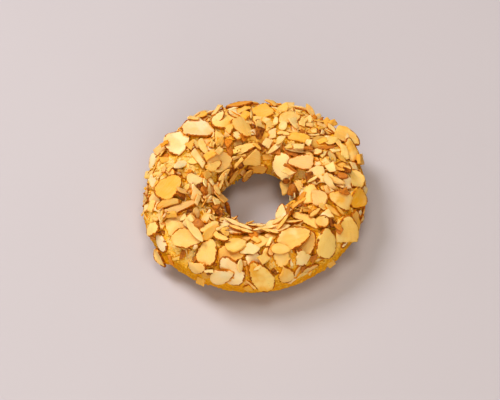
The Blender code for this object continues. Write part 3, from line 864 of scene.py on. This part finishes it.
# Bits of brown almond skin and browned nut that the photograph shows.
SKIN_BITS = [
    (258.6, 133.5, 55, 6.6, 4.8, "shard", SKIN_DARK, 1, 0, 1.6),
    (229.1, 151.0, -70, 5.5, 3, "egg", SKIN_LIGHT, 1, 0, 1.2),
    (228.3, 143.6, 60, 4.5, 4, "shard", AMBER, 1, 0, 1.4),
    (240.6, 162.4, 70, 6, 3, "egg", SKIN_DARK, 1, 0, 1.0),
    (231.4, 171.1, 30, 6.5, 3.6, "egg", SKIN_DARK, 1, 0, 1.0),
    (261.6, 147.0, -60, 5, 3.4, "shard", SKIN_DARK, 1),
    (198.1, 190.2, 0, 3.6, 3.4, "round", SKIN_DARK, 1, 0, 2.2),
    (202.3, 191.8, -50, 4.6, 3.6, "egg", SKIN_LIGHT, 1, 0, 1.8),
    (301.4, 120.7, 80, 4.6, 2.6, "egg", SKIN_DARK, 1), (322.9, 133.9, -5, 8, 2.6, "shard", SKIN_DARK, 1),
    (308.8, 149.7, -20, 5.5, 3.6, "shard", SKIN_LIGHT, 1, 0, 1.2),
    (325.4, 148.2, 5, 8, 2, "block", SKIN_LIGHT, 1), (291.4, 154.4, -32, 9, 3.4, "half", SKIN_LIGHT, 1),
    (276.5, 151.6, -20, 7, 3.6, "shard", SKIN_LIGHT, 1), (310.0, 176.4, 60, 5.5, 4, "shard", SKIN_DARK, 1),
    (316.7, 178.7, -70, 3.6, 2.6, "shard", SKIN_DARK, 1),
    (292.6, 168.8, -62, 7, 1.6, "block", SKIN_LIGHT, 1),
    (347.8, 171.3, 40, 5.5, 3.8, "shard", SKIN_DARK, 1, 0, 1.4),
    (342.8, 176.6, -20, 5, 3.4, "egg", SKIN_LIGHT, 1, 0, 1.6),
    (343.7, 192.8, -20, 4.8, 3.8, "shard", SKIN_LIGHT, 1, 0, 1.5),
    (281.8, 188.7, 80, 7, 2.2, "half", SKIN_LIGHT, 1, 20),
    (292.3, 182.0, 0, 3.6, 3, "round", SKIN_DARK, 1, 0, 1.2),
    (296.5, 191.0, 60, 6.2, 5.2, "round", SKIN_LIGHT, 1, 0, 2.6),
    (288.3, 209.9, 80, 8, 1.8, "lens", SKIN_LIGHT, 1, 10), (298.1, 202.4, 60, 9.5, 2, "block", AMBER, 1),
    (332.4, 223.6, 20, 5, 4, "shard", SKIN_DARK, 1, 0, 1.4),
    (339.5, 231.0, -60, 5, 3, "shard", SKIN_LIGHT, 1, 0, 1.2),
    (323.8, 219.2, 0, 5.5, 1.8, "shard", SKIN_DARK, 1), (312.4, 258.0, 60, 6, 3.6, "shard", SKIN_LIGHT, 1),
    (302.5, 268.0, 20, 5, 2.4, "shard", SKIN_LIGHT, 1),
    (254.1, 234.6, 0, 5.5, 3.6, "shard", AMBER, 1, 0, 1.4),
    (254.1, 227.3, 5, 5.4, 2.2, "egg", SKIN_LIGHT, 1), (180.4, 197.8, -32, 6.5, 3, "shard", SKIN_DARK, 1),
    (190.5, 211.0, 10, 5, 1.6, "shard", SKIN_DARK, 1),
    (215.0, 211.0, 70, 5, 3.4, "shard", SKIN_LIGHT, 1, 0, 1.4),
    (219.0, 213.0, -55, 6, 2.4, "shard", SKIN_DARK, 1),
    (198.7, 225.5, -15, 5.6, 4.6, "egg", SKIN_LIGHT, 1, 0, 2.0),
    (182.4, 254.4, 75, 5.4, 1.4, "block", SKIN_LIGHT, 1),
    (184.8, 253.8, 75, 4.4, 1.2, "block", SKIN_LIGHT, 1), (211.2, 271.4, 0, 6, 1.8, "shard", SKIN_DARK, 1),
    (195.5, 259.0, 70, 4, 2, "shard", SKIN_LIGHT, 1),
]
SKIN_STEPS = 28
SKIN_SEED = 700
UNEVEN_LIE = 10  # degrees
LEAST_BEND = -0.1  # of a small piece, in millimetres: it is hollow below 0
BEND_ACROSS = 0.6  # of a small piece's bend along its length
WIDEST = 54 * MM  # the ring's outer radius


class Heap:
    """What a small piece comes to rest on: the dough, the large flakes and the small pieces laid so far."""

    START = 7 * MM  # a piece is dropped from this far outside the dough
    DEEPEST = 3 * MM  # what lies deeper than this below its place doesn't carry it
    CARRIED_AT = (0.0, 0.5, 0.95)  # shares of the way out to a piece's edge
    FEWEST_READINGS = 6
    STEEPEST = 0.7  # slope against the dough
    USUAL_LEVEL = 60  # percentile of what lies below a piece that it comes down to at most
    SINK = 0.45 * MM  # small pieces are pressed into each other by this much
    MIDDLE_RISE = 0.35  # of its thickness, by which a piece's middle lies above what carries it
    COVER_AT = 0.85  # share of the way out at which a piece is looked at for flakes above it
    LOWEST = 9 * MM  # no piece that the photograph shows lies lower
    SEARCH_RADIUS = 12  # pixels
    WASHED_OVER = 0.6  # radians, below which the washed wall may be kept free
    TRIES = 12  # places tried for each that is wanted

    def __init__(self, dough, flakes):
        self.trees = {"dough": dough.tree(), "flake": flakes.tree()}
        self.fixed = [dough, flakes]
        self.laid = Parts()

    def first(self, start, way, without=()):
        """How far away the first thing is in a direction, and what it is: "dough", "flake" or "laid"."""
        trees = [(tree, kind) for kind, tree in self.trees.items() if kind not in without]
        found = [(tree.ray_cast(start, way)[3], kind) for tree, kind in trees]
        return min((pair for pair in found if pair[0] is not None), default=(None, None))

    def sight(self, column, row):
        """The place that shows at a pixel of the photograph, or None."""
        way = (RIGHT * (column - PHOTO_WIDTH / 2) - UP * (row - PHOTO_HEIGHT / 2)) * PIXEL_SLOPE - BACK
        way.normalize()
        distance = self.first(EYE, way)[0]
        return None if distance is None else EYE + way * distance

    def seen_at(self, column, row):
        """The place on the pastry that shows at a pixel, or else the nearest that does."""
        for radius in range(self.SEARCH_RADIUS):
            for turn in np.linspace(0, math.tau, max(1, 6 * radius), endpoint=False):
                spot = self.sight(column + radius * math.cos(turn), row + radius * math.sin(turn))
                if spot is not None and spot.z > self.LOWEST:
                    return spot
        return None

    def rest(self, spot, normal, long_axis, outline, thickness, without=()):
        """Middle and axes of a thin piece that has come to rest at a spot."""
        wide_axis = normal.cross(long_axis)
        readings = []
        for share in self.CARRIED_AT:
            for x, y in outline[:: max(1, len(outline) // 8)] * share:
                start = spot + long_axis * x + wide_axis * y + normal * self.START
                distance = self.first(start, -normal, without)[0]
                if distance is not None and distance < self.START + self.DEEPEST:
                    readings.append((x, y, self.START - distance))
        if len(readings) < self.FEWEST_READINGS:
            return None
        x, y, height = np.array(readings).T
        slopes = np.linalg.lstsq(np.column_stack([x, y, np.ones(len(x))]), height, rcond=None)[0][:2]
        slope_x, slope_y = np.clip(slopes, -self.STEEPEST, self.STEEPEST)
        level = height - slope_x * x - slope_y * y
        rise = max(np.percentile(level, self.USUAL_LEVEL), level.max() - self.SINK)
        face = (normal - long_axis * slope_x - wide_axis * slope_y).normalized()
        wide_axis = face.cross(long_axis).normalized()
        middle = spot + normal * rise + face * thickness * self.MIDDLE_RISE
        return middle, [wide_axis.cross(face), wide_axis, face]

    def hidden(self, outline, middle, axes):
        """The share of a piece that lies below large flakes."""
        samples = [middle + axes[0] * x + axes[1] * y for x, y in outline[::4] * self.COVER_AT]
        above = [self.trees["flake"].ray_cast(sample, axes[2], self.START)[0] for sample in samples]
        return sum(hit is not None for hit in above) / len(samples)

    def lay(self, piece):
        """Remember a piece, so that later ones rest on it."""
        outline = piece.outline[::3]
        count = len(outline)
        flat = np.column_stack([outline, np.full(count, piece.thickness / 2)])
        points = world_points(flat, piece.middle, piece.axes)
        step = np.arange(1, count - 1)
        faces = np.stack([np.zeros(count - 2, int), step, step + 1, step + 1], axis=1)
        self.laid.add(points, faces)

    def settle(self):
        """From now on let pieces rest on all that were laid so far."""
        self.trees["laid"] = self.laid.tree()

    def pile(self):
        """Everything in the heap as one tree."""
        together = Parts()
        for parts in (*self.fixed, self.laid):
            together.add(*parts.joined())
        return together.tree()

    def open_spots(self, count, rng, over_range):
        """Random places all round the ring where the dough lies open."""
        tries = self.TRIES * count
        around = rng.uniform(0, math.tau, tries)
        over = np.radians(rng.uniform(*over_range, tries))
        points, normals = dough_shape.points(around, over), dough_shape.normals(around, over)
        wide_enough = rng.uniform(0, WIDEST, tries) < np.hypot(points[:, 0], points[:, 1])
        spots = []
        for place, normal, high in zip(points[wide_enough], normals[wide_enough], over[wide_enough]):
            place, normal = Vector(place), Vector(normal)
            distance, kind = self.first(place + normal * self.START, -normal)
            if kind == "dough" and not (high < self.WASHED_OVER and rng.uniform() < bareness(high, place)):
                spots.append((place + normal * (self.START - distance), normal))
            if len(spots) == count:
                break
        return spots


LEAST_FACING = 0.35  # how little a surface may face the viewer before a direction on it is unclear


def along_photo(turn, normal):
    """The direction along a surface that shows at an angle, in degrees, in the photograph."""
    way = RIGHT * math.cos(math.radians(turn)) + UP * math.sin(math.radians(turn))
    way -= BACK * (way.dot(normal) / max(BACK.dot(normal), LEAST_FACING))
    return (way - normal * way.dot(normal)).normalized()


def raised(axes, degrees):
    """Axes turned so that the face looks more towards the viewer."""
    turn = Matrix.Rotation(math.radians(degrees), 3, axes[2].cross(BACK).normalized())
    return [turn @ axis for axis in axes]


def tilted(axes, rng, degrees):
    """Axes turned at random by about so many degrees, about the long or the wide axis."""
    turn = Matrix.Rotation(math.radians(rng.normal() * degrees), 3, axes[rng.integers(2)])
    return [turn @ axis for axis in axes]


def add_small(parts, piece, make, length, rng, heap):
    """Put a small slice among the parts, bent and curled at random, and leave it on the heap."""
    bend = rng.uniform(LEAST_BEND, make.bend) * MM
    curl = (rng.uniform(0, make.curl) * length, rng.uniform(0, math.tau))
    add_slice(parts, piece, make, (bend, bend * BEND_ACROSS), curl, rng)
    heap.lay(piece)


def lay_by_hand(parts, rows, steps, heap, first_seed):
    """The small pieces of one kind that the photograph shows, each where it lies there."""
    for number, chip in enumerate(Chip(*row) for row in rows):
        rng = np.random.default_rng(first_seed + number)
        length, thickness = chip.length * MM, chip.thickness * MM
        corners, broken = chip_outline(chip.shape, length, chip.width * MM, rng)
        outline, natural = fine_outline(corners, broken, steps, rng, HAND_JAG)
        spot = heap.seen_at(chip.column, chip.row)
        if spot is None:
            continue
        normal = Vector(dough_shape.normals(*dough_shape.angles(spot)))
        laid = heap.rest(spot, normal, along_photo(chip.turn, normal), outline, thickness)
        if laid is None:
            continue
        middle, axes = laid
        axes = tilted(raised(axes, chip.rise), rng, UNEVEN_LIE)
        # the side with more brown rim lies mostly lower in the view: partly painted shade
        look = Look(chip.colour, rng.uniform(0.1, 0.5), chip.skin, rng.uniform(-150, 30))
        piece = Slice(outline, natural, middle, axes, thickness, look)
        add_small(parts, piece, HAND_MAKE, length, rng, heap)
        heap.settle()


# -------- small pieces strewn over the whole ring

CHIP_KINDS = ("block", "shard", "half", "tip", "egg", "lens", "shard", "block")
CHIP_COLOURS = (PALE, CREAM, WHITE, GOLDEN, PALE, CREAM, GOLDEN, WHITE, CREAM, PINK)
SKIN_COLOURS = (SKIN_LIGHT, SKIN_DARK, SKIN_LIGHT, AMBER)
# How many pieces at most, their sizes in millimetres, their shapes and colours, how much skin they keep, in
# what range over the dough they lie and how far they are tilted, both in degrees, and steps in an outline.
Strewn = namedtuple("Strewn", "count lengths widths thickness shapes colours skin over tilt steps seed")
STREWN_CHIPS = Strewn(300, (4.2, 9.0), (2.6, 5.6), 0.7, CHIP_KINDS, CHIP_COLOURS, 0.5,
                      (-6, 176), 15, 30, 21)
STREWN_SLIVERS = Strewn(150, (3.5, 7.5), (0.9, 1.7), 0.65, ("block", "lens", "block"), CHIP_COLOURS, 0.4,
                        (-4, 176), 22, 18, 22)
STREWN_SKIN = Strewn(55, (2.0, 4.4), (1.2, 2.8), 0.65, ("shard", "block", "egg"), SKIN_COLOURS, 1.0,
                     (0, 190), 20, 18, 23)
WIDEST_SHARE = 0.85  # of its length, that a strewn piece is wide at most
LAID_AT_ONCE = 10  # strewn pieces between two updates of what the next ones rest on
MOST_HIDDEN = 0.35  # share of a strewn piece that may lie below large flakes

# Where the photograph shows bare dough: (column, row, radius), in pixels.
BARE_SPOTS = ((185, 157, 8), (168, 165, 8), (148, 217, 7), (170, 252, 8), (262, 243, 4), (333, 257, 12),
              (318, 262, 6), (155, 171, 4), (200, 128, 6), (186, 141, 4), (169, 240, 8), (186, 259, 5))


def at_bare_spot(spot):
    """Whether a place is one where the photograph shows the dough."""
    offset = spot - EYE
    scale = -offset.dot(BACK) * PIXEL_SLOPE
    column = PHOTO_WIDTH / 2 + offset.dot(RIGHT) / scale
    row = PHOTO_HEIGHT / 2 - offset.dot(UP) / scale
    return any(math.hypot(column - x, row - y) < radius for x, y, radius in BARE_SPOTS)


def strew_one(parts, kind, heap, spot, normal, rng):
    """Lay a small piece at a spot, unless the photograph shows bare dough there or large flakes hide it."""
    length, width = rng.uniform(*kind.lengths) * MM, rng.uniform(*kind.widths) * MM
    shape = kind.shapes[rng.integers(len(kind.shapes))]
    corners, broken = chip_outline(shape, length, min(width, WIDEST_SHARE * length), rng)
    outline, natural = fine_outline(corners, broken, kind.steps, rng, STREWN_JAG)
    thickness = kind.thickness * rng.uniform(0.8, 1.3) * MM
    long_axis = Matrix.Rotation(rng.uniform(0, math.tau), 3, normal) @ normal.orthogonal().normalized()
    laid = heap.rest(spot, normal, long_axis, outline, thickness, ("flake",))
    if laid is None or at_bare_spot(spot) or heap.hidden(outline, *laid) > MOST_HIDDEN:
        return False
    middle, axes = laid
    axes = tilted(axes, rng, kind.tilt)
    look = Look(kind.colours[rng.integers(len(kind.colours))], rng.uniform(0.1, 0.7),
                kind.skin * rng.uniform(0, 1.6), rng.uniform(0, 360))
    add_small(parts, Slice(outline, natural, middle, axes, thickness, look), STREWN_MAKE, length, rng, heap)
    return True


def strew(parts, kind, heap):
    """Small pieces of one kind, at random where the ring is still bare."""
    rng = np.random.default_rng(kind.seed)
    for number, (spot, normal) in enumerate(heap.open_spots(kind.count, rng, kind.over)):
        was_laid = strew_one(parts, kind, heap, spot, normal, rng)
        if was_laid and number % LAID_AT_ONCE == 0:
            heap.settle()
    heap.settle()


CRUMB_GROUPS = ((250, (0.8, 1.5), 2), (700, (0.35, 0.8), 1))  # number, sizes in mm, fineness of the shape
CRUMB_OVER = (-12, 205)  # degrees
CRUMB_LUMPS = 0.16  # how uneven a crumb is, as a share of its size
CRUMB_SEED = 31


def ball(fineness):
    """Points and faces of a round ball."""
    shape = bmesh.new()
    bmesh.ops.create_icosphere(shape, subdivisions=fineness, radius=1.0)
    points = np.array([vertex.co[:] for vertex in shape.verts])
    faces = np.array([[face.verts[corner].index for corner in (0, 1, 2, 2)] for face in shape.faces])
    shape.free()
    return points, faces


def strew_crumbs(heap):
    """Grains of dough that lie loose on it."""
    rng = np.random.default_rng(CRUMB_SEED)
    parts = Parts()
    for count, sizes, fineness in CRUMB_GROUPS:
        points, faces = ball(fineness)
        for spot, normal in heap.open_spots(count, rng, CRUMB_OVER):
            size = rng.uniform(*sizes) * MM
            stretch = rng.uniform(0.65, 1.2, 3)
            turn, _ = np.linalg.qr(rng.normal(size=(3, 3)))
            lumpy = points * (1 + CRUMB_LUMPS * rng.normal(size=(len(points), 1))) * stretch * size / 2
            middle = np.array(spot + normal * size * rng.uniform(0.05, 0.35))
            parts.add(middle + lumpy @ turn, faces, relief=rng.uniform(0.5, 1.1), bare=0.0, base=0.0)
    return parts


# -------- materials

class Recipe:
    """A material built up from nodes, one call for each."""

    def __init__(self, name):
        self.material = bpy.data.materials.new(name)
        self.material.use_nodes = True
        self.tree = self.material.node_tree
        self.shader = self.tree.nodes["Principled BSDF"]

    def plug(self, socket, value):
        """Link a socket to another node's output, or set its value."""
        if isinstance(value, bpy.types.NodeSocket):
            self.tree.links.new(value, socket)
        elif isinstance(value, tuple) and len(value) == 3 and len(socket.default_value) == 4:
            socket.default_value = (*value, 1.0)
        else:
            socket.default_value = value

    def node(self, kind, settings=(), **inputs):
        """Make a node. Its inputs go by their names, with _ for a space."""
        made = self.tree.nodes.new(kind)
        for key, value in dict(settings).items():
            setattr(made, key, value)
        for key, value in inputs.items():
            self.plug(made.inputs[key.replace("_", " ")], value)
        return made

    def finish(self, **inputs):
        """Set the surface's own inputs and give back the material."""
        for key, value in inputs.items():
            self.plug(self.shader.inputs[key.replace("_", " ")], value)
        return self.material

    def attribute(self, name, output="Fac"):
        return self.node("ShaderNodeAttribute", {"attribute_name": name}).outputs[output]

    def place(self):
        """The point on the object, in millimetres."""
        return self.scaled(self.node("ShaderNodeTexCoord").outputs["Object"], (1 / MM,) * 3)

    def height_of(self, place):
        """How high a place is, in the units that it is given in."""
        return self.node("ShaderNodeSeparateXYZ", Vector=place).outputs["Z"]

    def scaled(self, vector, scale):
        return self.node("ShaderNodeMapping", Vector=vector, Scale=scale).outputs["Vector"]

    def noise(self, vector, size, detail=2.0, roughness=0.5):
        """Cloudy values around a half, with features of this size."""
        return self.node("ShaderNodeTexNoise", Vector=vector, Scale=1 / size, Detail=detail,
                         Roughness=roughness).outputs["Fac"]

    def grains(self, vector, size):
        """The distance from the middle of grains of this size."""
        return self.node("ShaderNodeTexVoronoi", Vector=vector, Scale=1 / size).outputs["Distance"]

    def between(self, value, low, high, to_low=0.0, to_high=1.0):
        """A value taken smoothly from one range to another."""
        made = self.node("ShaderNodeMapRange", {"interpolation_type": "SMOOTHSTEP"}, Value=value)
        for key, limit in (("From Min", low), ("From Max", high), ("To Min", to_low), ("To Max", to_high)):
            self.plug(made.inputs[key], limit)
        return made.outputs["Result"]

    def maths(self, operation, first, second):
        made = self.node("ShaderNodeMath", {"operation": operation})
        self.plug(made.inputs[0], first)
        self.plug(made.inputs[1], second)
        return made.outputs[0]

    def mix(self, factor, first, second):
        made = self.node("ShaderNodeMix", {"data_type": "RGBA"})
        for name, value in (("Factor_Float", factor), ("A_Color", first), ("B_Color", second)):
            self.plug(next(socket for socket in made.inputs if socket.identifier == name), value)
        return next(socket for socket in made.outputs if socket.identifier == "Result_Color")

    def turning(self, colour, other, value, low, high, to_low=0.0, to_high=1.0):
        """A colour that turns into another one as a value goes from low to high."""
        return self.mix(self.between(value, low, high, to_low, to_high), colour, other)

    def bump(self, height, depth, normal=None):
        made = self.node("ShaderNodeBump", Height=height, Distance=depth, Strength=1.0)
        if normal is not None:
            self.plug(made.inputs["Normal"], normal)
        return made.outputs["Normal"]


def almond_material():
    """Toasted almond: streaked along its length, browned in patches, with skin left on its rim, and painted
    shade where other pieces lie close.
    """
    r = Recipe("flaked_almond")
    toast = r.attribute("tint", "Alpha")
    spot = r.attribute("leaf", "Vector")
    inset = r.attribute("inset")
    cloud = r.between(r.noise(spot, 7.0, 1.5), 0.38, 0.60)
    colour = r.mix(r.maths("MULTIPLY", cloud, toast), r.attribute("tint", "Color"), TOASTED)
    streaks = r.noise(r.scaled(spot, (0.22, 1.6, 1.0)), 1.0, 3.0, 0.6)
    colour = r.turning(colour, WHITE, streaks, 0.35, 0.75, 0.0, 0.16)
    edge_glow = r.maths("MULTIPLY", r.between(inset, 0.0, 1.6, 0.5, 0.0), toast)
    colour = r.mix(edge_glow, colour, TOASTED)
    freckles = r.maths("MULTIPLY", r.between(r.noise(spot, 0.55, 1.0), 0.70, 0.78), 0.35)
    colour = r.mix(freckles, colour, SKIN_LIGHT)
    # painted shade: orange-brown where other pieces lie close
    colour = r.turning(colour, ALMOND_PAINTED_SHADE, r.attribute("between"), 0.04, 0.46, 0.0, 0.98)
    colour = r.turning(colour, almond_brown(r, spot), almond_rim(r, spot, inset), 0.10, 0.45)
    fine = r.noise(r.scaled(spot, (0.7, 3.0, 1.0)), 0.5, 3.0, 0.65)
    return r.finish(Base_Color=colour, Roughness=r.between(streaks, 0.3, 0.8, 0.42, 0.6),
                    Normal=r.bump(fine, 0.07 * MM), Specular_IOR_Level=0.08, Subsurface_Weight=0.2,
                    Subsurface_Radius=(1.0, 0.55, 0.2), Subsurface_Scale=1.2 * MM)


def almond_rim(r, spot, inset):
    """Where brown skin is left: along the edge, in a band of uneven width."""
    width = r.between(r.noise(spot, 1.4, 2.0), 0.3, 0.7, 0.36, 1.10)
    near_edge = r.between(r.maths("DIVIDE", inset, width), 0.55, 1.0, 1.0, 0.0)
    return r.maths("MULTIPLY", near_edge, r.attribute("skin"))


def almond_brown(r, spot):
    """The colour of that skin."""
    return r.turning(RIM_LIGHT, RIM_DARK, r.noise(spot, 1.1, 3.0), 0.35, 0.65)


def skin_material():
    """Brown almond skin and browned nut, finely wrinkled."""
    r = Recipe("almond_skin")
    spot = r.attribute("leaf", "Vector")
    wrinkles = r.noise(r.scaled(spot, (0.6, 2.2, 1.0)), 0.5, 3.0, 0.6)
    colour = r.turning(r.attribute("tint", "Color"), AMBER, r.noise(spot, 1.6, 2.0), 0.35, 0.7, 0.0, 0.6)
    colour = r.turning(colour, SKIN_DARK, wrinkles, 0.3, 0.55, 0.5, 0.0)
    return r.finish(Base_Color=colour, Roughness=0.45, Normal=r.bump(wrinkles, 0.12 * MM),
                    Specular_IOR_Level=0.15, Subsurface_Weight=0.1,
                    Subsurface_Radius=(1.0, 0.4, 0.1), Subsurface_Scale=0.8 * MM)


def sandy_colour(r, light, low, patches, place):
    """Dough that is sandy where its grains lie open and high, and deep gold between them, as painted shade
    where other pieces lie close.
    """
    # deeper gold down in the grains' hollows: partly the dough's own colour, partly painted shade
    colour = r.turning(DOUGH_DEEP, DOUGH_GOLD, light, -0.8, -0.2)
    # paler higher up: partly the crest's own sandy colour, partly painted light falling from above
    high = r.between(r.height_of(place), 14.0, 21.0, 0.15, 1.0)
    # the sandy colour is kept off where other pieces lie close: painted shade
    unshaded_share = r.maths("MULTIPLY", r.between(low, 0.04, 0.24, 1.0, 0.0), r.between(light, -0.65, 0.15))
    colour = r.mix(r.maths("MULTIPLY", unshaded_share, high), colour, DOUGH_SANDY)
    colour = r.turning(colour, DOUGH_GOLD, patches, 0.40, 0.75, 0.0, 0.5)
    # painted shade: deep gold where other pieces lie close
    return r.turning(colour, DOUGH_DEEP, low, 0.16, 0.50)


def washed_colour(r, light, crumble, patches, place):
    """The egg-washed lower wall: glossy and deep gold, with lighter crust and sandy specks."""
    colour = r.turning(DOUGH_WASHED, DOUGH_LIGHT_CRUST, crumble, 0.38, 0.60)
    colour = r.turning(colour, DOUGH_WASHED, patches, 0.35, 0.70, 0.0, 0.7)
    # deeper in the crust's pits: partly painted shade
    colour = r.turning(colour, DOUGH_DEEP, light, -0.45, 0.20, 0.8, 0.0)
    return r.turning(colour, DOUGH_SANDY, r.noise(place, 1.0, 2.0), 0.62, 0.70, 0.0, 0.5)


def dough_material():
    """Baked dough: sandy and light on its grains, deep gold below them and on its washed wall, with painted
    shade near other pieces.
    """
    r = Recipe("baked_dough")
    place = r.place()
    bare = r.attribute("bare")
    # nearby occlusion, which is painted as shade below
    low = r.attribute("between")
    patches = r.noise(place, 6.0, 3.0)
    grains = r.grains(place, 0.55)
    # lighter on the grains' tops, darker down between them: partly painted shade
    light = r.maths("ADD", r.attribute("relief"), r.between(grains, 0.1, 0.8, 0.25, -0.3))
    crumble = r.noise(place, 1.2, 2.0, 0.6)
    sandy = sandy_colour(r, light, low, patches, place)
    washed = washed_colour(r, light, crumble, patches, place)
    colour = r.mix(r.maths("MULTIPLY", bare, 0.95), sandy, washed)
    # painted shade: darkest where other pieces lie closest
    colour = r.turning(colour, DOUGH_PAINTED_SHADE, low, 0.50, 0.88, 0.0, 0.85)
    colour = r.turning(colour, DOUGH_BASE, r.attribute("base"), 0.0, 1.0, 0.0, 0.9)
    height = r.maths("ADD", r.maths("MULTIPLY", grains, -0.5), r.noise(place, 0.35, 3.0, 0.6))
    normal = r.bump(height, 0.22 * MM, r.bump(crumble, 0.9 * MM))
    return r.finish(Base_Color=colour, Roughness=r.between(bare, 0.0, 1.0, 0.7, 0.55), Normal=normal,
                    Specular_IOR_Level=0.03, Subsurface_Weight=0.15,
                    Subsurface_Radius=(1.0, 0.5, 0.15), Subsurface_Scale=1.0 * MM)


# -------- floor, light and view

FLOOR_COLOUR = (0.515, 0.492, 0.540)
FLOOR_CLOUDS = (0.535, 0.512, 0.560)
FLOOR_SIZE = 4.0
LAMP_DISTANCE = 2.0
ROOM_COLOUR = (1.0, 0.80, 0.55, 1.0)
ROOM_STRENGTH = 0.25
CONTRAST_GAMMA = 0.88  # the photograph is a little harder than plain light gives


def floor_material():
    """A matt floor with faint clouds."""
    r = Recipe("pale_floor")
    clouds = r.noise(r.place(), 120.0, 2.0)
    return r.finish(Base_Color=r.mix(clouds, FLOOR_COLOUR, FLOOR_CLOUDS), Roughness=0.6)


def make_stage():
    """The floor, which isn't part of the object."""
    bpy.ops.mesh.primitive_plane_add(size=FLOOR_SIZE)
    floor = bpy.context.object
    floor.name = "floor"
    floor.data.materials.append(floor_material())


def area_light(name, azimuth, elevation, size, power, colour):
    """A soft lamp that faces the pastry. Azimuth 0 is on the +X side, counted towards +Y."""
    lamp = bpy.data.lights.new(name, "AREA")
    lamp.shape = "DISK"
    lamp.size = size
    lamp.energy = power
    lamp.color = colour
    holder = bpy.data.objects.new(name, lamp)
    way = direction(math.radians(azimuth), math.radians(elevation))
    holder.location = AIM + way * LAMP_DISTANCE
    holder.rotation_mode = "QUATERNION"
    holder.rotation_quaternion = way.to_track_quat("Z", "Y")
    bpy.context.scene.collection.objects.link(holder)


def make_lights():
    """A key lamp behind on the left, two fills, and a warm room."""
    area_light("key", azimuth=140, elevation=46, size=0.9, power=27.5, colour=(1.0, 0.98, 0.98))
    area_light("front", azimuth=-90, elevation=33, size=1.8, power=22.0, colour=(1.0, 0.95, 0.87))
    area_light("top", azimuth=60, elevation=85, size=1.0, power=14.5, colour=(1.0, 0.93, 0.83))
    world = bpy.data.worlds.new("studio")
    world.use_nodes = True
    background = world.node_tree.nodes["Background"]
    background.inputs["Color"].default_value = ROOM_COLOUR
    background.inputs["Strength"].default_value = ROOM_STRENGTH
    bpy.context.scene.world = world
    bpy.context.scene.view_settings.view_transform = "Standard"
    bpy.context.scene.view_settings.gamma = CONTRAST_GAMMA


def make_camera():
    """The viewpoint of the photograph."""
    data = bpy.data.cameras.new("camera")
    data.lens = LENS
    data.sensor_width = SENSOR_WIDTH
    data.clip_start = 0.01
    camera = bpy.data.objects.new("camera", data)
    camera.location = EYE
    camera.rotation_mode = "QUATERNION"
    camera.rotation_quaternion = BACK.to_track_quat("Z", "Y")
    bpy.context.scene.collection.objects.link(camera)
    bpy.context.scene.camera = camera


# -------- the whole

def build():
    """Make every piece, and the stage around them."""
    almond, dough, skin = almond_material(), dough_material(), skin_material()
    flakes, all_flakes = shape_flakes()
    ring = shape_dough(all_flakes.tree())
    heap = Heap(ring, all_flakes)
    chips, slivers, skin_bits = Parts(), Parts(), Parts()
    strew(chips, STREWN_CHIPS, heap)
    strew(slivers, STREWN_SLIVERS, heap)
    strew(skin_bits, STREWN_SKIN, heap)
    lay_by_hand(skin_bits, SKIN_BITS, SKIN_STEPS, heap, SKIN_SEED)
    seen_chips = BACK_LEFT_CHIPS + BACK_RIGHT_CHIPS + FRONT_LEFT_CHIPS + FRONT_RIGHT_CHIPS
    lay_by_hand(chips, seen_chips, CHIP_STEPS, heap, CHIP_SEED)
    crumbs = strew_crumbs(heap)
    pile = heap.pile()
    for name, parts in flakes.items():
        parts.piece(name.replace("almond", "toasted"), almond, "flaked_almond", pile, name)
    chips.piece("flake_chips", almond, "flaked_almond", pile)
    slivers.piece("flake_slivers", almond, "flaked_almond", pile)
    skin_bits.piece("skin_bits", skin, "flaked_almond", pile)
    crumbs.piece("dough_crumbs", dough, "baked_dough", pile)
    ring.piece("ring_dough", dough, "baked_dough", pile, "pastry_ring")
    make_stage()
    make_lights()
    make_camera()


build()
